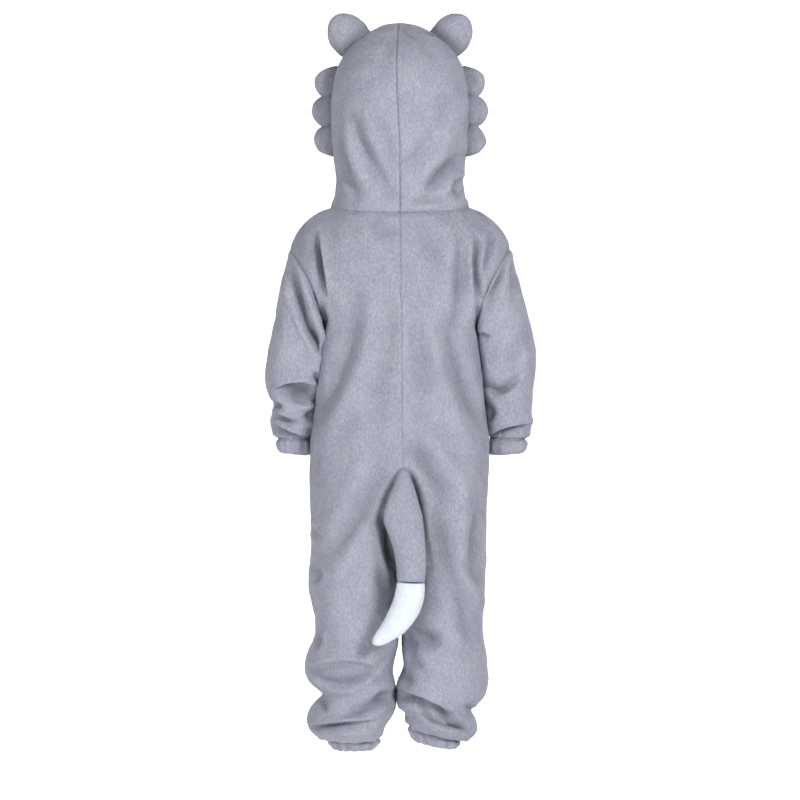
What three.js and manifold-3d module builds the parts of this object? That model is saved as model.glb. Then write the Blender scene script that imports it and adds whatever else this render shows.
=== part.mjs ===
// A child's hooded wolf onesie of plush fleece, worn but empty, with its hood up.
// Millimetres, +Z up. The front faces -Y and the wearer's left side is +X.
// The origin lies between the shoulders, level with the bottom of the neck, where the wearer carries it.
//
// Each sewn piece is a wall of cloth over a grid of points. The rows of the grid are sections of
// the worn garment, read from the tables below, and neighbouring pieces share their seam points.
// The stuffed pieces (ears, cheek tufts, tail) are solids lofted through sections of their own.
import * as THREE from "three";
import { mergeVertices } from "three/addons/utils/BufferGeometryUtils.js";
import Module from "manifold-3d";

const CLOTH = 3; // plush fleece, pile included
const SEAM_GAP = 0.32; // between two pieces at a seam
const SEAT_GAP = 1; // between a stuffed piece and the cloth it is sewn to
const SEAT_REACH = 120; // how far off a root is looked for on the cloth

const NECK = { halfWidth: 94, sideZ: 10, backZ: -3, frontZ: -20 };
const SHOULDER = { x: 150, z: -46, rounding: 80 };
const UNDERARM = { x: 104, z: -152 };
const SQUARENESS = 2.2; // of the sections, 2 is an ellipse
const ZIP = { halfWidth: 4.6, bottomZ: -388, tape: 2.4, recess: 0.9, clearance: 0.35 };
const GATHERS = { wrist: 12, ankle: 14, depth: 0.045 };

// Grid sizes: columns from the centre line to the side, and the rows of the yoke.
const NECK_COLUMNS = 5;
const SHOULDER_COLUMNS = 3;
const HALF_COLUMNS = NECK_COLUMNS + SHOULDER_COLUMNS;
const YOKE_ROWS = [0, 0.04, 0.15, 0.34, 0.54, 0.735, 0.905];

// The top outline of the shoulders, carried on under the hood.
const RIDGE = [
  { x: 0, z: 42 },
  { x: 45, z: 37 },
  { x: 75, z: 24 },
  { x: 94, z: 10 },
  { x: 108, z: 5 },
  { x: 122, z: -4 },
  { x: 134, z: -15 },
  { x: 143, z: -28 },
  { x: 150, z: -46 },
];

// The armhole seam seen from behind, and the width that the chest would have with the arm in it.
const ARMHOLE = [
  { z: -46, edge: 150, width: 157 },
  { z: -58, edge: 142, width: 156 },
  { z: -75, edge: 132, width: 155 },
  { z: -95, edge: 121, width: 150 },
  { z: -115, edge: 113, width: 133 },
  { z: -135, edge: 107, width: 116 },
  { z: -152, edge: 104, width: 104 },
];

const YOKE_DEPTH = [
  { z: 10, front: 69, back: 84 },
  { z: -20, front: 70, back: 83 },
  { z: -60, front: 79, back: 84 },
  { z: -100, front: 83, back: 85 },
  { z: -152, front: 83, back: 84 },
];

// Sections of the torso and legs from the underarm down. inner and outer are distances from the
// middle of the garment: an inner edge below zero is a torso section, cut at the centre seam.
const TORSO = [
  { z: -152, inner: -104, outer: 104, front: 83, back: 84 },
  { z: -174, inner: -107, outer: 107, front: 85, back: 84 },
  { z: -202, inner: -109.5, outer: 109.5, front: 88, back: 84 },
  { z: -230, inner: -112, outer: 112, front: 91, back: 85 },
  { z: -258, inner: -115, outer: 115, front: 93, back: 87 },
  { z: -290, inner: -118.5, outer: 118.5, front: 94, back: 91 },
  { z: -322, inner: -121, outer: 121, front: 94, back: 94 },
  { z: -356, inner: -122, outer: 122, front: 92, back: 96 },
  { z: -388, inner: -119, outer: 121.5, front: 89, back: 95 },
  { z: -412, inner: -98, outer: 121, front: 87, back: 92 },
  { z: -432, inner: -66, outer: 120.5, front: 85, back: 89 },
  { z: -448, inner: -36, outer: 120.5, front: 84, back: 87 },
  { z: -460, inner: -18, outer: 121, front: 83, back: 85 },
  { z: -469, inner: -7.5, outer: 121.5, front: 82, back: 84 },
  { z: -475, inner: -2.5, outer: 122, front: 81, back: 83 },
];
const LEG_LEFT = [
  { z: -479, inner: 0, outer: 122.5, front: 80, back: 82 },
  { z: -487, inner: 0.8, outer: 123, front: 78, back: 81 },
  { z: -498, inner: 0.9, outer: 123.5, front: 76, back: 79 },
  { z: -529, inner: 0.9, outer: 120, front: 72, back: 74 },
  { z: -552, inner: 0.9, outer: 116, front: 70, back: 71 },
  { z: -574, inner: 1, outer: 117.5, front: 68, back: 69 },
  { z: -592, inner: 4.5, outer: 125, front: 70, back: 71 },
  { z: -607, inner: 8, outer: 129.5, front: 72, back: 74 },
  { z: -620, inner: 10, outer: 129, front: 72, back: 74 },
  { z: -631, inner: 8.5, outer: 124, front: 69, back: 70 },
  { z: -641, inner: 6.6, outer: 114, front: 64, back: 64 },
  { z: -650, inner: 6.2, outer: 106, front: 61, back: 60 },
  { z: -659, inner: 6.2, outer: 112, front: 63, back: 63 },
  { z: -669, inner: 7, outer: 121, front: 68, back: 67 },
  { z: -680, inner: 10, outer: 126, front: 72, back: 70 },
  { z: -690, inner: 16, outer: 126.5, front: 72, back: 69 },
  { z: -699, inner: 22, outer: 123, front: 68, back: 64 },
  { z: -706, inner: 26, outer: 114, front: 58, back: 54 },
  { z: -710, inner: 26.5, outer: 100, front: 42, back: 39 },
];
const LEG_RIGHT = [
  { z: -479, inner: 0, outer: 120, front: 80, back: 82 },
  { z: -487, inner: 0.8, outer: 117.5, front: 78, back: 81 },
  { z: -498, inner: 0.9, outer: 116, front: 76, back: 79 },
  { z: -529, inner: 0.9, outer: 114, front: 72, back: 74 },
  { z: -552, inner: 0.9, outer: 112, front: 70, back: 71 },
  { z: -574, inner: 1, outer: 113, front: 69, back: 70 },
  { z: -592, inner: 2.5, outer: 116, front: 70, back: 72 },
  { z: -607, inner: 5, outer: 118, front: 72, back: 74 },
  { z: -620, inner: 2.5, outer: 119.5, front: 73, back: 75 },
  { z: -631, inner: -2, outer: 120, front: 73, back: 75 },
  { z: -642, inner: -4.6, outer: 119, front: 71, back: 72 },
  { z: -652, inner: -4.8, outer: 114.5, front: 67, back: 67 },
  { z: -661, inner: -4, outer: 105, front: 61, back: 61, tilt: -1 },
  { z: -669, inner: -1, outer: 97, front: 58, back: 58, tilt: -3 },
  { z: -677, inner: 4, outer: 100, front: 61, back: 61, tilt: -6 },
  { z: -685, inner: 8, outer: 103.5, front: 63, back: 63, tilt: -8 },
  { z: -693, inner: 9.5, outer: 103, front: 60, back: 60, tilt: -9 },
  { z: -699, inner: 10, outer: 95, front: 52, back: 50, tilt: -10 },
  { z: -702, inner: 10.5, outer: 82, front: 40, back: 37, tilt: -10 },
];

// Sections of the sleeves. outer and inner are the two ends of a section as seen from behind, and
// middle, front and back its place and reach along Y. The first is the armhole itself.
const SLEEVE_LEFT = [
  { outerX: 150, outerZ: -46, innerX: 104, innerZ: -152, middle: 0, front: 52, back: 54 },
  { outerX: 155.5, outerZ: -66, innerX: 107.5, innerZ: -163, middle: 0, front: 51, back: 52 },
  { outerX: 162, outerZ: -97, innerX: 109, innerZ: -173, middle: -2, front: 50, back: 49 },
  { outerX: 169, outerZ: -130, innerX: 110.5, innerZ: -184, middle: -5, front: 48, back: 46 },
  { outerX: 176, outerZ: -164, innerX: 112, innerZ: -196, middle: -8, front: 46, back: 44 },
  { outerX: 181.5, outerZ: -196, innerX: 114, innerZ: -213, middle: -12, front: 45, back: 43 },
  { outerX: 184, outerZ: -221, innerX: 116, innerZ: -230, middle: -15, front: 44, back: 43 },
  { outerX: 181.5, outerZ: -240, innerX: 118.5, innerZ: -245, middle: -18, front: 41, back: 40 },
  { outerX: 174.5, outerZ: -255, innerX: 121, innerZ: -258, middle: -20, front: 35, back: 34 },
  { outerX: 176, outerZ: -267, innerX: 121, innerZ: -269, middle: -22, front: 37, back: 36 },
  { outerX: 178.5, outerZ: -280, innerX: 121.5, innerZ: -281, middle: -24, front: 38, back: 37 },
  { outerX: 177, outerZ: -291, innerX: 122, innerZ: -291, middle: -25, front: 36, back: 35 },
  { outerX: 172.5, outerZ: -300, innerX: 123, innerZ: -299, middle: -26, front: 31, back: 30 },
  { outerX: 169, outerZ: -304, innerX: 123.5, innerZ: -303, middle: -26, front: 27, back: 26 },
];
const SLEEVE_RIGHT = [
  { outerX: 150, outerZ: -46, innerX: 104, innerZ: -152, middle: 0, front: 52, back: 54 },
  { outerX: 156.5, outerZ: -66, innerX: 107.5, innerZ: -163, middle: 0, front: 51, back: 52 },
  { outerX: 165, outerZ: -97, innerX: 109.5, innerZ: -173, middle: -2, front: 50, back: 49 },
  { outerX: 174, outerZ: -130, innerX: 111, innerZ: -185, middle: -5, front: 48, back: 46 },
  { outerX: 181, outerZ: -162, innerX: 113, innerZ: -196, middle: -8, front: 47, back: 45 },
  { outerX: 184.5, outerZ: -190, innerX: 115, innerZ: -211, middle: -12, front: 46, back: 44 },
  { outerX: 184, outerZ: -214, innerX: 116.5, innerZ: -227, middle: -15, front: 45, back: 43 },
  { outerX: 182, outerZ: -236, innerX: 118, innerZ: -242, middle: -18, front: 42, back: 41 },
  { outerX: 181.5, outerZ: -253, innerX: 119.5, innerZ: -256, middle: -20, front: 39, back: 38 },
  { outerX: 180.5, outerZ: -266, innerX: 121, innerZ: -268, middle: -22, front: 38, back: 37 },
  { outerX: 182.5, outerZ: -280, innerX: 121.5, innerZ: -281, middle: -24, front: 38, back: 37 },
  { outerX: 180, outerZ: -292, innerX: 122, innerZ: -291, middle: -25, front: 36, back: 35 },
  { outerX: 176.5, outerZ: -301, innerX: 123.5, innerZ: -299, middle: -26, front: 31, back: 30 },
  { outerX: 173, outerZ: -305, innerX: 124, innerZ: -303, middle: -26, front: 27, back: 26 },
];
const ARMHOLE_FADE = [1, 0.62, 0.28, 0.08]; // how much of the armhole's own outline each section keeps

// The gathered bands at the wrists and ankles, from the seam to the opening.
const WRIST_LEFT = [
  { outerX: 168, outerZ: -304.6, innerX: 124, innerZ: -303.8, middle: -26, front: 26, back: 25 },
  { outerX: 167.5, outerZ: -316, innerX: 121.5, innerZ: -316, middle: -26.5, front: 27, back: 26 },
  { outerX: 161, outerZ: -327, innerX: 124.5, innerZ: -330, middle: -27, front: 23, back: 22 },
];
const WRIST_RIGHT = [
  { outerX: 172, outerZ: -305.6, innerX: 124.5, innerZ: -303.8, middle: -26, front: 26, back: 25 },
  { outerX: 172, outerZ: -316, innerX: 122.5, innerZ: -316, middle: -26.5, front: 27, back: 26 },
  { outerX: 165, outerZ: -327, innerX: 126, innerZ: -330, middle: -27, front: 23, back: 22 },
];
const ANKLE_LEFT = [
  { outerX: 99, outerZ: -710.7, innerX: 27.5, innerZ: -710.7, middle: -1, front: 37, back: 36 },
  { outerX: 97, outerZ: -717, innerX: 28, innerZ: -717, middle: -1, front: 36, back: 35 },
  { outerX: 88, outerZ: -728, innerX: 37, innerZ: -728, middle: -1, front: 27, back: 27 },
];
const ANKLE_RIGHT = [
  { outerX: 81, outerZ: -712.7, innerX: 11.5, innerZ: -692.7, middle: -1, front: 36, back: 35 },
  { outerX: 80, outerZ: -718, innerX: 12.5, innerZ: -703, middle: -1, front: 35, back: 34 },
  { outerX: 72, outerZ: -726, innerX: 21, innerZ: -717, middle: -1, front: 27, back: 27 },
];

// Sections of the hood from the neck to the crown. face is how far round from the centre back
// each one reaches, in degrees: 180 is the seam over the head, less is the edge of the face opening.
const HOOD = [
  { z: 10, side: 94, back: 75, front: 66, face: 180 },
  { z: 20, side: 91, back: 77, front: 72, face: 166 },
  { z: 31, side: 88, back: 79, front: 78, face: 153 },
  { z: 43, side: 86.5, back: 82, front: 84, face: 144 },
  { z: 62, side: 88, back: 88, front: 90, face: 138 },
  { z: 84, side: 91, back: 93, front: 94, face: 135 },
  { z: 106, side: 93, back: 96, front: 96, face: 134 },
  { z: 128, side: 94, back: 98, front: 97, face: 134 },
  { z: 150, side: 94, back: 98.5, front: 97, face: 136 },
  { z: 170, side: 92.5, back: 97, front: 95.5, face: 140 },
  { z: 187, side: 89.5, back: 93, front: 92, face: 148 },
  { z: 201, side: 85, back: 86.5, front: 86, face: 161 },
  { z: 212, side: 79.5, back: 79.5, front: 79, face: 180 },
  { z: 224, side: 70.5, back: 70, front: 70, face: 180 },
  { z: 236, side: 58.5, back: 58, front: 58, face: 180 },
  { z: 247, side: 43, back: 43, front: 43, face: 180 },
  { z: 256, side: 25, back: 25, front: 25, face: 180 },
  { z: 261, side: 0, back: 0, front: 0, face: 180 },
];
const NECK_FADE = [1, 0.7, 0.38, 0.14]; // how much of the neckline's own outline each section keeps

// The largest folds, as troughs seen from behind (face 1) or from the front (face -1), from one
// end to the other: half-width across and depth, in the cloth of the named piece.
const FOLDS = [
  { piece: "body_left", face: 1, x0: 118, z0: -689, x1: 42, z1: -681, width: 7, depth: 4.3 },
  { piece: "body_left", face: 1, x0: 96, z0: -618, x1: 50, z1: -617, width: 13, depth: 7 },
  { piece: "body_left", face: 1, x0: 36, z0: -655, x1: 12, z1: -640, width: 8, depth: 5 },
  { piece: "body_left", face: 1, x0: 108, z0: -647, x1: 90, z1: -663, width: 7, depth: 4.3 },
  { piece: "body_left", face: 1, x0: 112, z0: -50, x1: 99, z1: -128, width: 9, depth: 5.6 },
  { piece: "body_left", face: 1, x0: 96, z0: -320, x1: 48, z1: -165, width: 22, depth: 4 },
  { piece: "body_left", face: -1, x0: 30, z0: -668, x1: 92, z1: -684, width: 8, depth: 5 },
  { piece: "body_left", face: -1, x0: 84, z0: -600, x1: 30, z1: -612, width: 12, depth: 6 },
  { piece: "body_left", face: -1, x0: 108, z0: -60, x1: 96, z1: -132, width: 9, depth: 5 },
  { piece: "body_left", face: -1, x0: 88, z0: -360, x1: 30, z1: -440, width: 15, depth: 5 },
  { piece: "body_right", face: 1, x0: -16, z0: -648, x1: -54, z1: -662, width: 8, depth: 5 },
  { piece: "body_right", face: 1, x0: -54, z0: -662, x1: -96, z1: -690, width: 8, depth: 5 },
  { piece: "body_right", face: 1, x0: -26, z0: -570, x1: -54, z1: -568, width: 15, depth: 5 },
  { piece: "body_right", face: 1, x0: -6, z0: -582, x1: -28, z1: -608, width: 9, depth: 4 },
  { piece: "body_right", face: 1, x0: -109, z0: -50, x1: -101, z1: -130, width: 9, depth: 5.6 },
  { piece: "body_right", face: 1, x0: -96, z0: -322, x1: -52, z1: -170, width: 24, depth: 3.5 },
  { piece: "body_right", face: -1, x0: -92, z0: -664, x1: -34, z1: -684, width: 8, depth: 5 },
  { piece: "body_right", face: -1, x0: -86, z0: -612, x1: -30, z1: -598, width: 12, depth: 6 },
  { piece: "body_right", face: -1, x0: -108, z0: -60, x1: -97, z1: -130, width: 9, depth: 5 },
  { piece: "body_right", face: -1, x0: -84, z0: -350, x1: -34, z1: -436, width: 15, depth: 5 },
  { piece: "sleeve_left", face: 1, x0: 141, z0: -84, x1: 122, z1: -150, width: 8, depth: 5 },
  { piece: "sleeve_left", face: 1, x0: 160, z0: -242, x1: 118, z1: -240, width: 9, depth: 5.6 },
  { piece: "sleeve_left", face: 1, x0: 170, z0: -262, x1: 142, z1: -274, width: 6, depth: 3.7 },
  { piece: "sleeve_left", face: 1, x0: 160, z0: -288, x1: 126, z1: -295, width: 5, depth: 3.1 },
  { piece: "sleeve_left", face: -1, x0: 168, z0: -228, x1: 130, z1: -246, width: 8, depth: 5 },
  { piece: "sleeve_left", face: -1, x0: 164, z0: -276, x1: 128, z1: -268, width: 7, depth: 4.3 },
  { piece: "sleeve_right", face: 1, x0: -141, z0: -78, x1: -120, z1: -138, width: 8, depth: 5 },
  { piece: "sleeve_right", face: 1, x0: -122, z0: -226, x1: -160, z1: -236, width: 9, depth: 5.6 },
  { piece: "sleeve_right", face: 1, x0: -130, z0: -286, x1: -176, z1: -282, width: 6, depth: 3.7 },
  { piece: "sleeve_right", face: -1, x0: -168, z0: -240, x1: -130, z1: -226, width: 8, depth: 5 },
  { piece: "sleeve_right", face: -1, x0: -164, z0: -268, x1: -128, z1: -278, width: 7, depth: 4.3 },
  { piece: "hood_left", face: 1, x0: 66, z0: 124, x1: 34, z1: 34, width: 11, depth: 4 },
  { piece: "hood_right", face: 1, x0: -84, z0: 92, x1: -34, z1: 30, width: 11, depth: 5 },
];

// The ears: sections from the root on the hood to the tip, at a distance up the ear.
const EAR = { baseX: 58, baseZ: 232, baseY: -10, lean: 41, back: 6 };
const EAR_SECTIONS = [
  { up: 0, halfWidth: 25, halfThickness: 10 },
  { up: 8, halfWidth: 26.5, halfThickness: 12 },
  { up: 16, halfWidth: 27, halfThickness: 13 },
  { up: 24, halfWidth: 26.5, halfThickness: 13 },
  { up: 34, halfWidth: 23, halfThickness: 11.5 },
  { up: 42, halfWidth: 17, halfThickness: 9 },
  { up: 47, halfWidth: 10, halfThickness: 6 },
  { up: 49.5, halfWidth: 3.5, halfThickness: 2.5 },
];

// The cheek tufts: three stuffed lobes in a row down each side of the hood.
const TUFT = { y: -16, halfThickness: 12.5, notch: 101, end: 97, top: 201, bottom: 81 };
const TUFT_LOBES = [
  { z: 183, reach: 118, halfHeight: 21.5 },
  { z: 143, reach: 122, halfHeight: 21.5 },
  { z: 102, reach: 119, halfHeight: 21.5 },
];
const TUFT_ROWS = 24;

// The tail: sections along its middle line, from the centre back seam to the tip.
const TAIL = [
  { x: -4, y: 95, z: -347, halfWidth: 5, halfDepth: 7 },
  { x: -4.5, y: 104, z: -352, halfWidth: 9, halfDepth: 9.5 },
  { x: -5, y: 110, z: -368, halfWidth: 15, halfDepth: 12 },
  { x: -4, y: 111, z: -388, halfWidth: 22, halfDepth: 14.5 },
  { x: -4, y: 113, z: -406, halfWidth: 26.5, halfDepth: 16 },
  { x: -8, y: 114, z: -421, halfWidth: 25, halfDepth: 17 },
  { x: -11.5, y: 114, z: -438, halfWidth: 22.5, halfDepth: 17 },
  { x: -14, y: 113, z: -460, halfWidth: 20.5, halfDepth: 17 },
  { x: -14.5, y: 112, z: -491, halfWidth: 19.5, halfDepth: 16.5 },
  { x: -12, y: 111, z: -511, halfWidth: 20, halfDepth: 16.5 },
  { x: -5.5, y: 109, z: -529, halfWidth: 19.5, halfDepth: 16 },
  { x: 5, y: 107, z: -545, halfWidth: 17, halfDepth: 14.5 },
  { x: 16, y: 105, z: -557, halfWidth: 13.5, halfDepth: 12 },
  { x: 26, y: 103, z: -566, halfWidth: 9.5, halfDepth: 8.5 },
  { x: 33.5, y: 101.5, z: -571, halfWidth: 4.5, halfDepth: 4.5 },
];
const TAIL_TIP_FROM = 8; // the section where the white tip is sewn on

// The zip's slider near the neck, the bridge on it and the pull tab that hangs from the bridge.
const SLIDER = { width: 8.6, height: 15, depth: 3, z: -38, lift: 0.4, slope: 12.5 };
const BRIDGE = { width: 1.8, height: 10.5, rise: 3.4, thickness: 1.1, z: 0.6 };
const PULL = { width: 7, endWidth: 9, length: 27, thickness: 1.3, arm: 1.3, holeTop: 0.65, holeBottom: 3.6 };

const GREY_PLUSH = new THREE.MeshStandardMaterial({ color: 0x9a9bac, roughness: 0.95, metalness: 0 });
const WHITE_PLUSH = new THREE.MeshStandardMaterial({ color: 0xe9eff5, roughness: 0.95, metalness: 0 });
const ZIP_TAPE = new THREE.MeshStandardMaterial({ color: 0x8b8c9a, roughness: 0.8, metalness: 0 });
const ZIP_METAL = new THREE.MeshStandardMaterial({ color: 0xb9bbc0, roughness: 0.35, metalness: 0.9 });

const garment = new THREE.Group();
garment.name = "wolf_onesie";

const lerp = THREE.MathUtils.lerp;
const clamp = THREE.MathUtils.clamp;
const radians = THREE.MathUtils.degToRad;
const power = (value, exponent) => Math.sign(value) * Math.abs(value) ** exponent;

// A smooth curve through a table's column, against another column that only rises or only falls.
function profile(table, along, column) {
  const rising = table[0][along] < table[table.length - 1][along];
  const rows = rising ? table : [...table].reverse();
  const slope = (i) => {
    const a = rows[Math.max(i - 1, 0)];
    const b = rows[Math.min(i + 1, rows.length - 1)];
    return (b[column] - a[column]) / (b[along] - a[along]);
  };
  return (at) => {
    const x = clamp(at, rows[0][along], rows[rows.length - 1][along]);
    let i = rows.findIndex((row) => row[along] >= x) - 1;
    i = clamp(i, 0, rows.length - 2);
    const step = rows[i + 1][along] - rows[i][along];
    const t = (x - rows[i][along]) / step;
    const [t2, t3] = [t * t, t * t * t];
    return (
      (2 * t3 - 3 * t2 + 1) * rows[i][column] +
      (t3 - 2 * t2 + t) * step * slope(i) +
      (3 * t2 - 2 * t3) * rows[i + 1][column] +
      (t3 - t2) * step * slope(i + 1)
    );
  };
}

const ridgeZ = profile(RIDGE, "x", "z");
const armholeEdge = profile(ARMHOLE, "z", "edge");
const chestWidth = profile(ARMHOLE, "z", "width");
const yokeFront = profile(YOKE_DEPTH, "z", "front");
const yokeBack = profile(YOKE_DEPTH, "z", "back");

// How far a fold sinks the cloth at a point: a trough along a line, with a low ridge on each side.
function foldDepth(piece, face, x, z) {
  let sunk = 0;
  for (const fold of FOLDS) {
    if (fold.piece !== piece || fold.face !== face) continue;
    const [dx, dz] = [fold.x1 - fold.x0, fold.z1 - fold.z0];
    const along = ((x - fold.x0) * dx + (z - fold.z0) * dz) / (dx * dx + dz * dz);
    const t = clamp(along, 0, 1);
    const away = Math.hypot(x - fold.x0 - t * dx, z - fold.z0 - t * dz) / fold.width;
    sunk += fold.depth * (Math.exp(-away * away) - 0.3 * Math.exp(-((away - 2) ** 2)));
  }
  return sunk;
}

// Sinks a point by the folds on its side, less towards the outline, where share is near zero.
function foldIn(point, piece, share) {
  const face = share > 0 ? 1 : -1;
  point.y -= face * foldDepth(piece, face, point.x, point.z) * Math.abs(share) ** 0.7;
  return point;
}

// A point of the yoke: share 0 is the centre line and 1 the side, drop 0 is the top edge (neckline,
// then shoulder seam) and 1 the underarm. Its depth rounds over the shoulder like a quarter circle.
function yokePoint(side, face, share, drop) {
  const neckShare = NECK_COLUMNS / HALF_COLUMNS;
  const topZ = face > 0 ? NECK.backZ : NECK.frontZ;
  const quarter = (Math.PI / 2) * Math.min(share / neckShare, 1);
  const across = Math.max((share - neckShare) / (1 - neckShare), 0);
  const onNeck = share <= neckShare;
  const edgeX = onNeck
    ? NECK.halfWidth * Math.sin(quarter) ** (2 / SQUARENESS)
    : lerp(NECK.halfWidth, SHOULDER.x, across);
  const edgeZ = onNeck ? lerp(NECK.sideZ, topZ, Math.cos(quarter)) : ridgeZ(edgeX);
  const z = lerp(edgeZ, UNDERARM.z, drop);
  const sideZ = lerp(SHOULDER.z, UNDERARM.z, drop);
  const spread = lerp(edgeX / SHOULDER.x, Math.sin((Math.PI / 2) * share) ** (2 / SQUARENESS), drop);
  const x = spread * armholeEdge(sideZ);
  const full = (face > 0 ? yokeBack : yokeFront)(z);
  const around = Math.max(1 - Math.min(x / chestWidth(Math.min(z, SHOULDER.z)), 1) ** SQUARENESS, 0);
  const under = clamp((ridgeZ(x) - z) / SHOULDER.rounding, 0, 1);
  const rounding = Math.sqrt(1 - (1 - under) ** 2);
  return new THREE.Vector3(side * x, face * full * around ** (1 / SQUARENESS) * rounding, z);
}

// A point of a torso or leg section: turn -1 is the centre front, 0 the side and 1 the centre back.
// The section is a superellipse, and one that crosses the centre seam ends there.
function sectionPoint(side, row, turn) {
  const exponent = 2 / SQUARENESS;
  const centre = (row.inner + row.outer) / 2;
  const half = (row.outer - row.inner) / 2;
  const cut = row.inner < 0 && row.z > LEG_LEFT[0].z;
  const end = cut ? Math.PI - Math.acos((centre / half) ** (1 / exponent)) : Math.PI;
  const angle = turn * end;
  const x = centre + half * power(Math.cos(angle), exponent);
  const y = (turn > 0 ? row.back : row.front) * power(Math.sin(angle), exponent);
  const z = row.z + ((row.tilt ?? 0) * (x - centre)) / half;
  return new THREE.Vector3(side * (cut && Math.abs(turn) === 1 ? 0 : x), y, z);
}

// The grid of one half of the body: rows from the shoulder to the ankle, columns from the centre
// front round the side to the centre back. Below the crotch each row goes round the leg.
function bodyGrid(name, side) {
  const columns = 2 * HALF_COLUMNS;
  const legs = side > 0 ? LEG_LEFT : LEG_RIGHT;
  const turns = Array.from({ length: columns + 1 }, (_, c) => (2 * c) / columns - 1);
  const yoke = YOKE_ROWS.map((drop) =>
    turns.map((turn) => {
      const face = turn > 0 ? 1 : -1;
      const point = yokePoint(side, face, 1 - Math.abs(turn), drop);
      return foldIn(point, name, turn * Math.min(4 * drop, 1));
    }),
  );
  const lower = [...TORSO, ...legs].map((row) =>
    turns.map((turn) => {
      const share = row.inner < 0 ? turn : Math.sin(Math.PI * turn);
      const bound = row === TORSO[0] && turn === 0;
      return foldIn(sectionPoint(side, row, turn), name, bound ? 0 : share);
    }),
  );
  return [...yoke, ...lower];
}

// A point of a limb's section: angle 0 is its outer end, a quarter turn the back.
function limbPoint(side, row, angle) {
  const exponent = 2 / SQUARENESS;
  const reach = power(Math.cos(angle), exponent);
  const x = lerp(row.innerX, row.outerX, (1 + reach) / 2);
  const z = lerp(row.innerZ, row.outerZ, (1 + reach) / 2);
  const depth = Math.sin(angle) > 0 ? row.back : row.front;
  return new THREE.Vector3(side * x, row.middle + depth * power(Math.sin(angle), exponent), z);
}

// The armhole's points, from the shoulder down the back to the underarm and up the front.
function armholeRing(body) {
  const rows = YOKE_ROWS.length;
  const side = HALF_COLUMNS;
  const back = Array.from({ length: rows + 1 }, (_, r) => body.edgeBack[r][side]);
  const front = Array.from({ length: rows - 1 }, (_, r) => body.edgeFront[rows - 1 - r][side]);
  return [...back, ...front].map((point) => point.clone());
}

// The sleeve: its first sections keep some of the armhole's own outline, so it leaves it smoothly.
function sleeveGrid(name, side, rows, ring) {
  const columns = ring.length;
  return rows.map((row, r) =>
    Array.from({ length: columns }, (_, c) => {
      const angle = (2 * Math.PI * c) / columns;
      const point = limbPoint(side, row, angle);
      const keep = ARMHOLE_FADE[r] ?? 0;
      const own = ring[c].clone().sub(limbPoint(side, rows[0], angle));
      point.addScaledVector(own, keep);
      return r === 0 ? point : foldIn(point, name, Math.sin(angle));
    }),
  );
}

// A gathered band: its sections ripple in and out, a little more towards the opening.
function bandGrid(side, rows, gathers) {
  const columns = 4 * gathers;
  return rows.map((row, r) =>
    Array.from({ length: columns }, (_, c) => {
      const angle = (2 * Math.PI * c) / columns;
      const point = limbPoint(side, row, angle);
      const centre = new THREE.Vector3(side * (row.innerX + row.outerX) * 0.5, row.middle, point.z);
      const ripple = 1 + GATHERS.depth * (0.5 + r / rows.length) * Math.cos(gathers * angle);
      return point.sub(centre).multiplyScalar(ripple).add(centre);
    }),
  );
}

// One half of the hood: columns from the centre back round to the seam over the head or the face
// opening, rows from the neckline to the crown.
function hoodGrid(name, side) {
  const columns = 2 * NECK_COLUMNS;
  const exponent = 2 / SQUARENESS;
  const plain = (row, share) => {
    const angle = radians(row.face) * share;
    const y = (Math.cos(angle) > 0 ? row.back : row.front) * power(Math.cos(angle), exponent);
    const closed = row.face === 180 && share === 1;
    return new THREE.Vector3(closed ? 0 : side * row.side * Math.sin(angle) ** exponent, y, row.z);
  };
  return HOOD.map((row, r) =>
    Array.from({ length: columns + 1 }, (_, c) => {
      const share = c / columns;
      const face = share <= 0.5 ? 1 : -1;
      const neckShare = (1 - Math.abs(2 * share - 1)) * (NECK_COLUMNS / HALF_COLUMNS);
      const seam = yokePoint(side, face, neckShare, 0);
      const own = seam.sub(plain(HOOD[0], share)).multiplyScalar(NECK_FADE[r] ?? 0);
      const point = plain(row, share).add(own);
      const width = Math.cos(Math.PI * share);
      return r === 0 ? point : foldIn(point, name, face > 0 ? width : -1e-9);
    }),
  );
}

// Vertex normals over all the cloth together, so that pieces that share a seam share its normals.
function sharedNormals(grids) {
  const sums = new Map();
  const key = (p) => `${p.x.toFixed(2)},${p.y.toFixed(2)},${p.z.toFixed(2)}`.replaceAll("-0.00", "0.00");
  for (const piece of grids) {
    for (const cell of cellsOf(piece)) {
      const corners = cell.map(([i, j]) => piece.points[i][j]);
      const normal = corners[2].clone().sub(corners[0]).cross(corners[3].clone().sub(corners[1]));
      if (piece.flip) normal.negate();
      for (const corner of corners) {
        const at = key(corner);
        sums.set(at, (sums.get(at) ?? new THREE.Vector3()).add(normal));
      }
    }
  }
  return (point) => {
    const normal = sums.get(key(point)).clone();
    if (Math.abs(point.x) < 0.01) normal.x = 0;
    return normal.normalize();
  };
}

// A closed mesh from triangles given as triples of points, facing out.
function closedGeometry(triangles) {
  const whole = triangles.filter(([a, b, c]) => a.distanceTo(b) && b.distanceTo(c) && c.distanceTo(a));
  const volume = whole.reduce((sum, [a, b, c]) => sum + a.dot(b.clone().cross(c)), 0);
  const corners = whole.flatMap(([a, b, c]) => (volume < 0 ? [a, c, b] : [a, b, c]));
  return new THREE.BufferGeometry().setFromPoints(corners);
}

const quadTriangles = (a, b, c, d) => [
  [a, b, c],
  [a, c, d],
];

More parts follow.
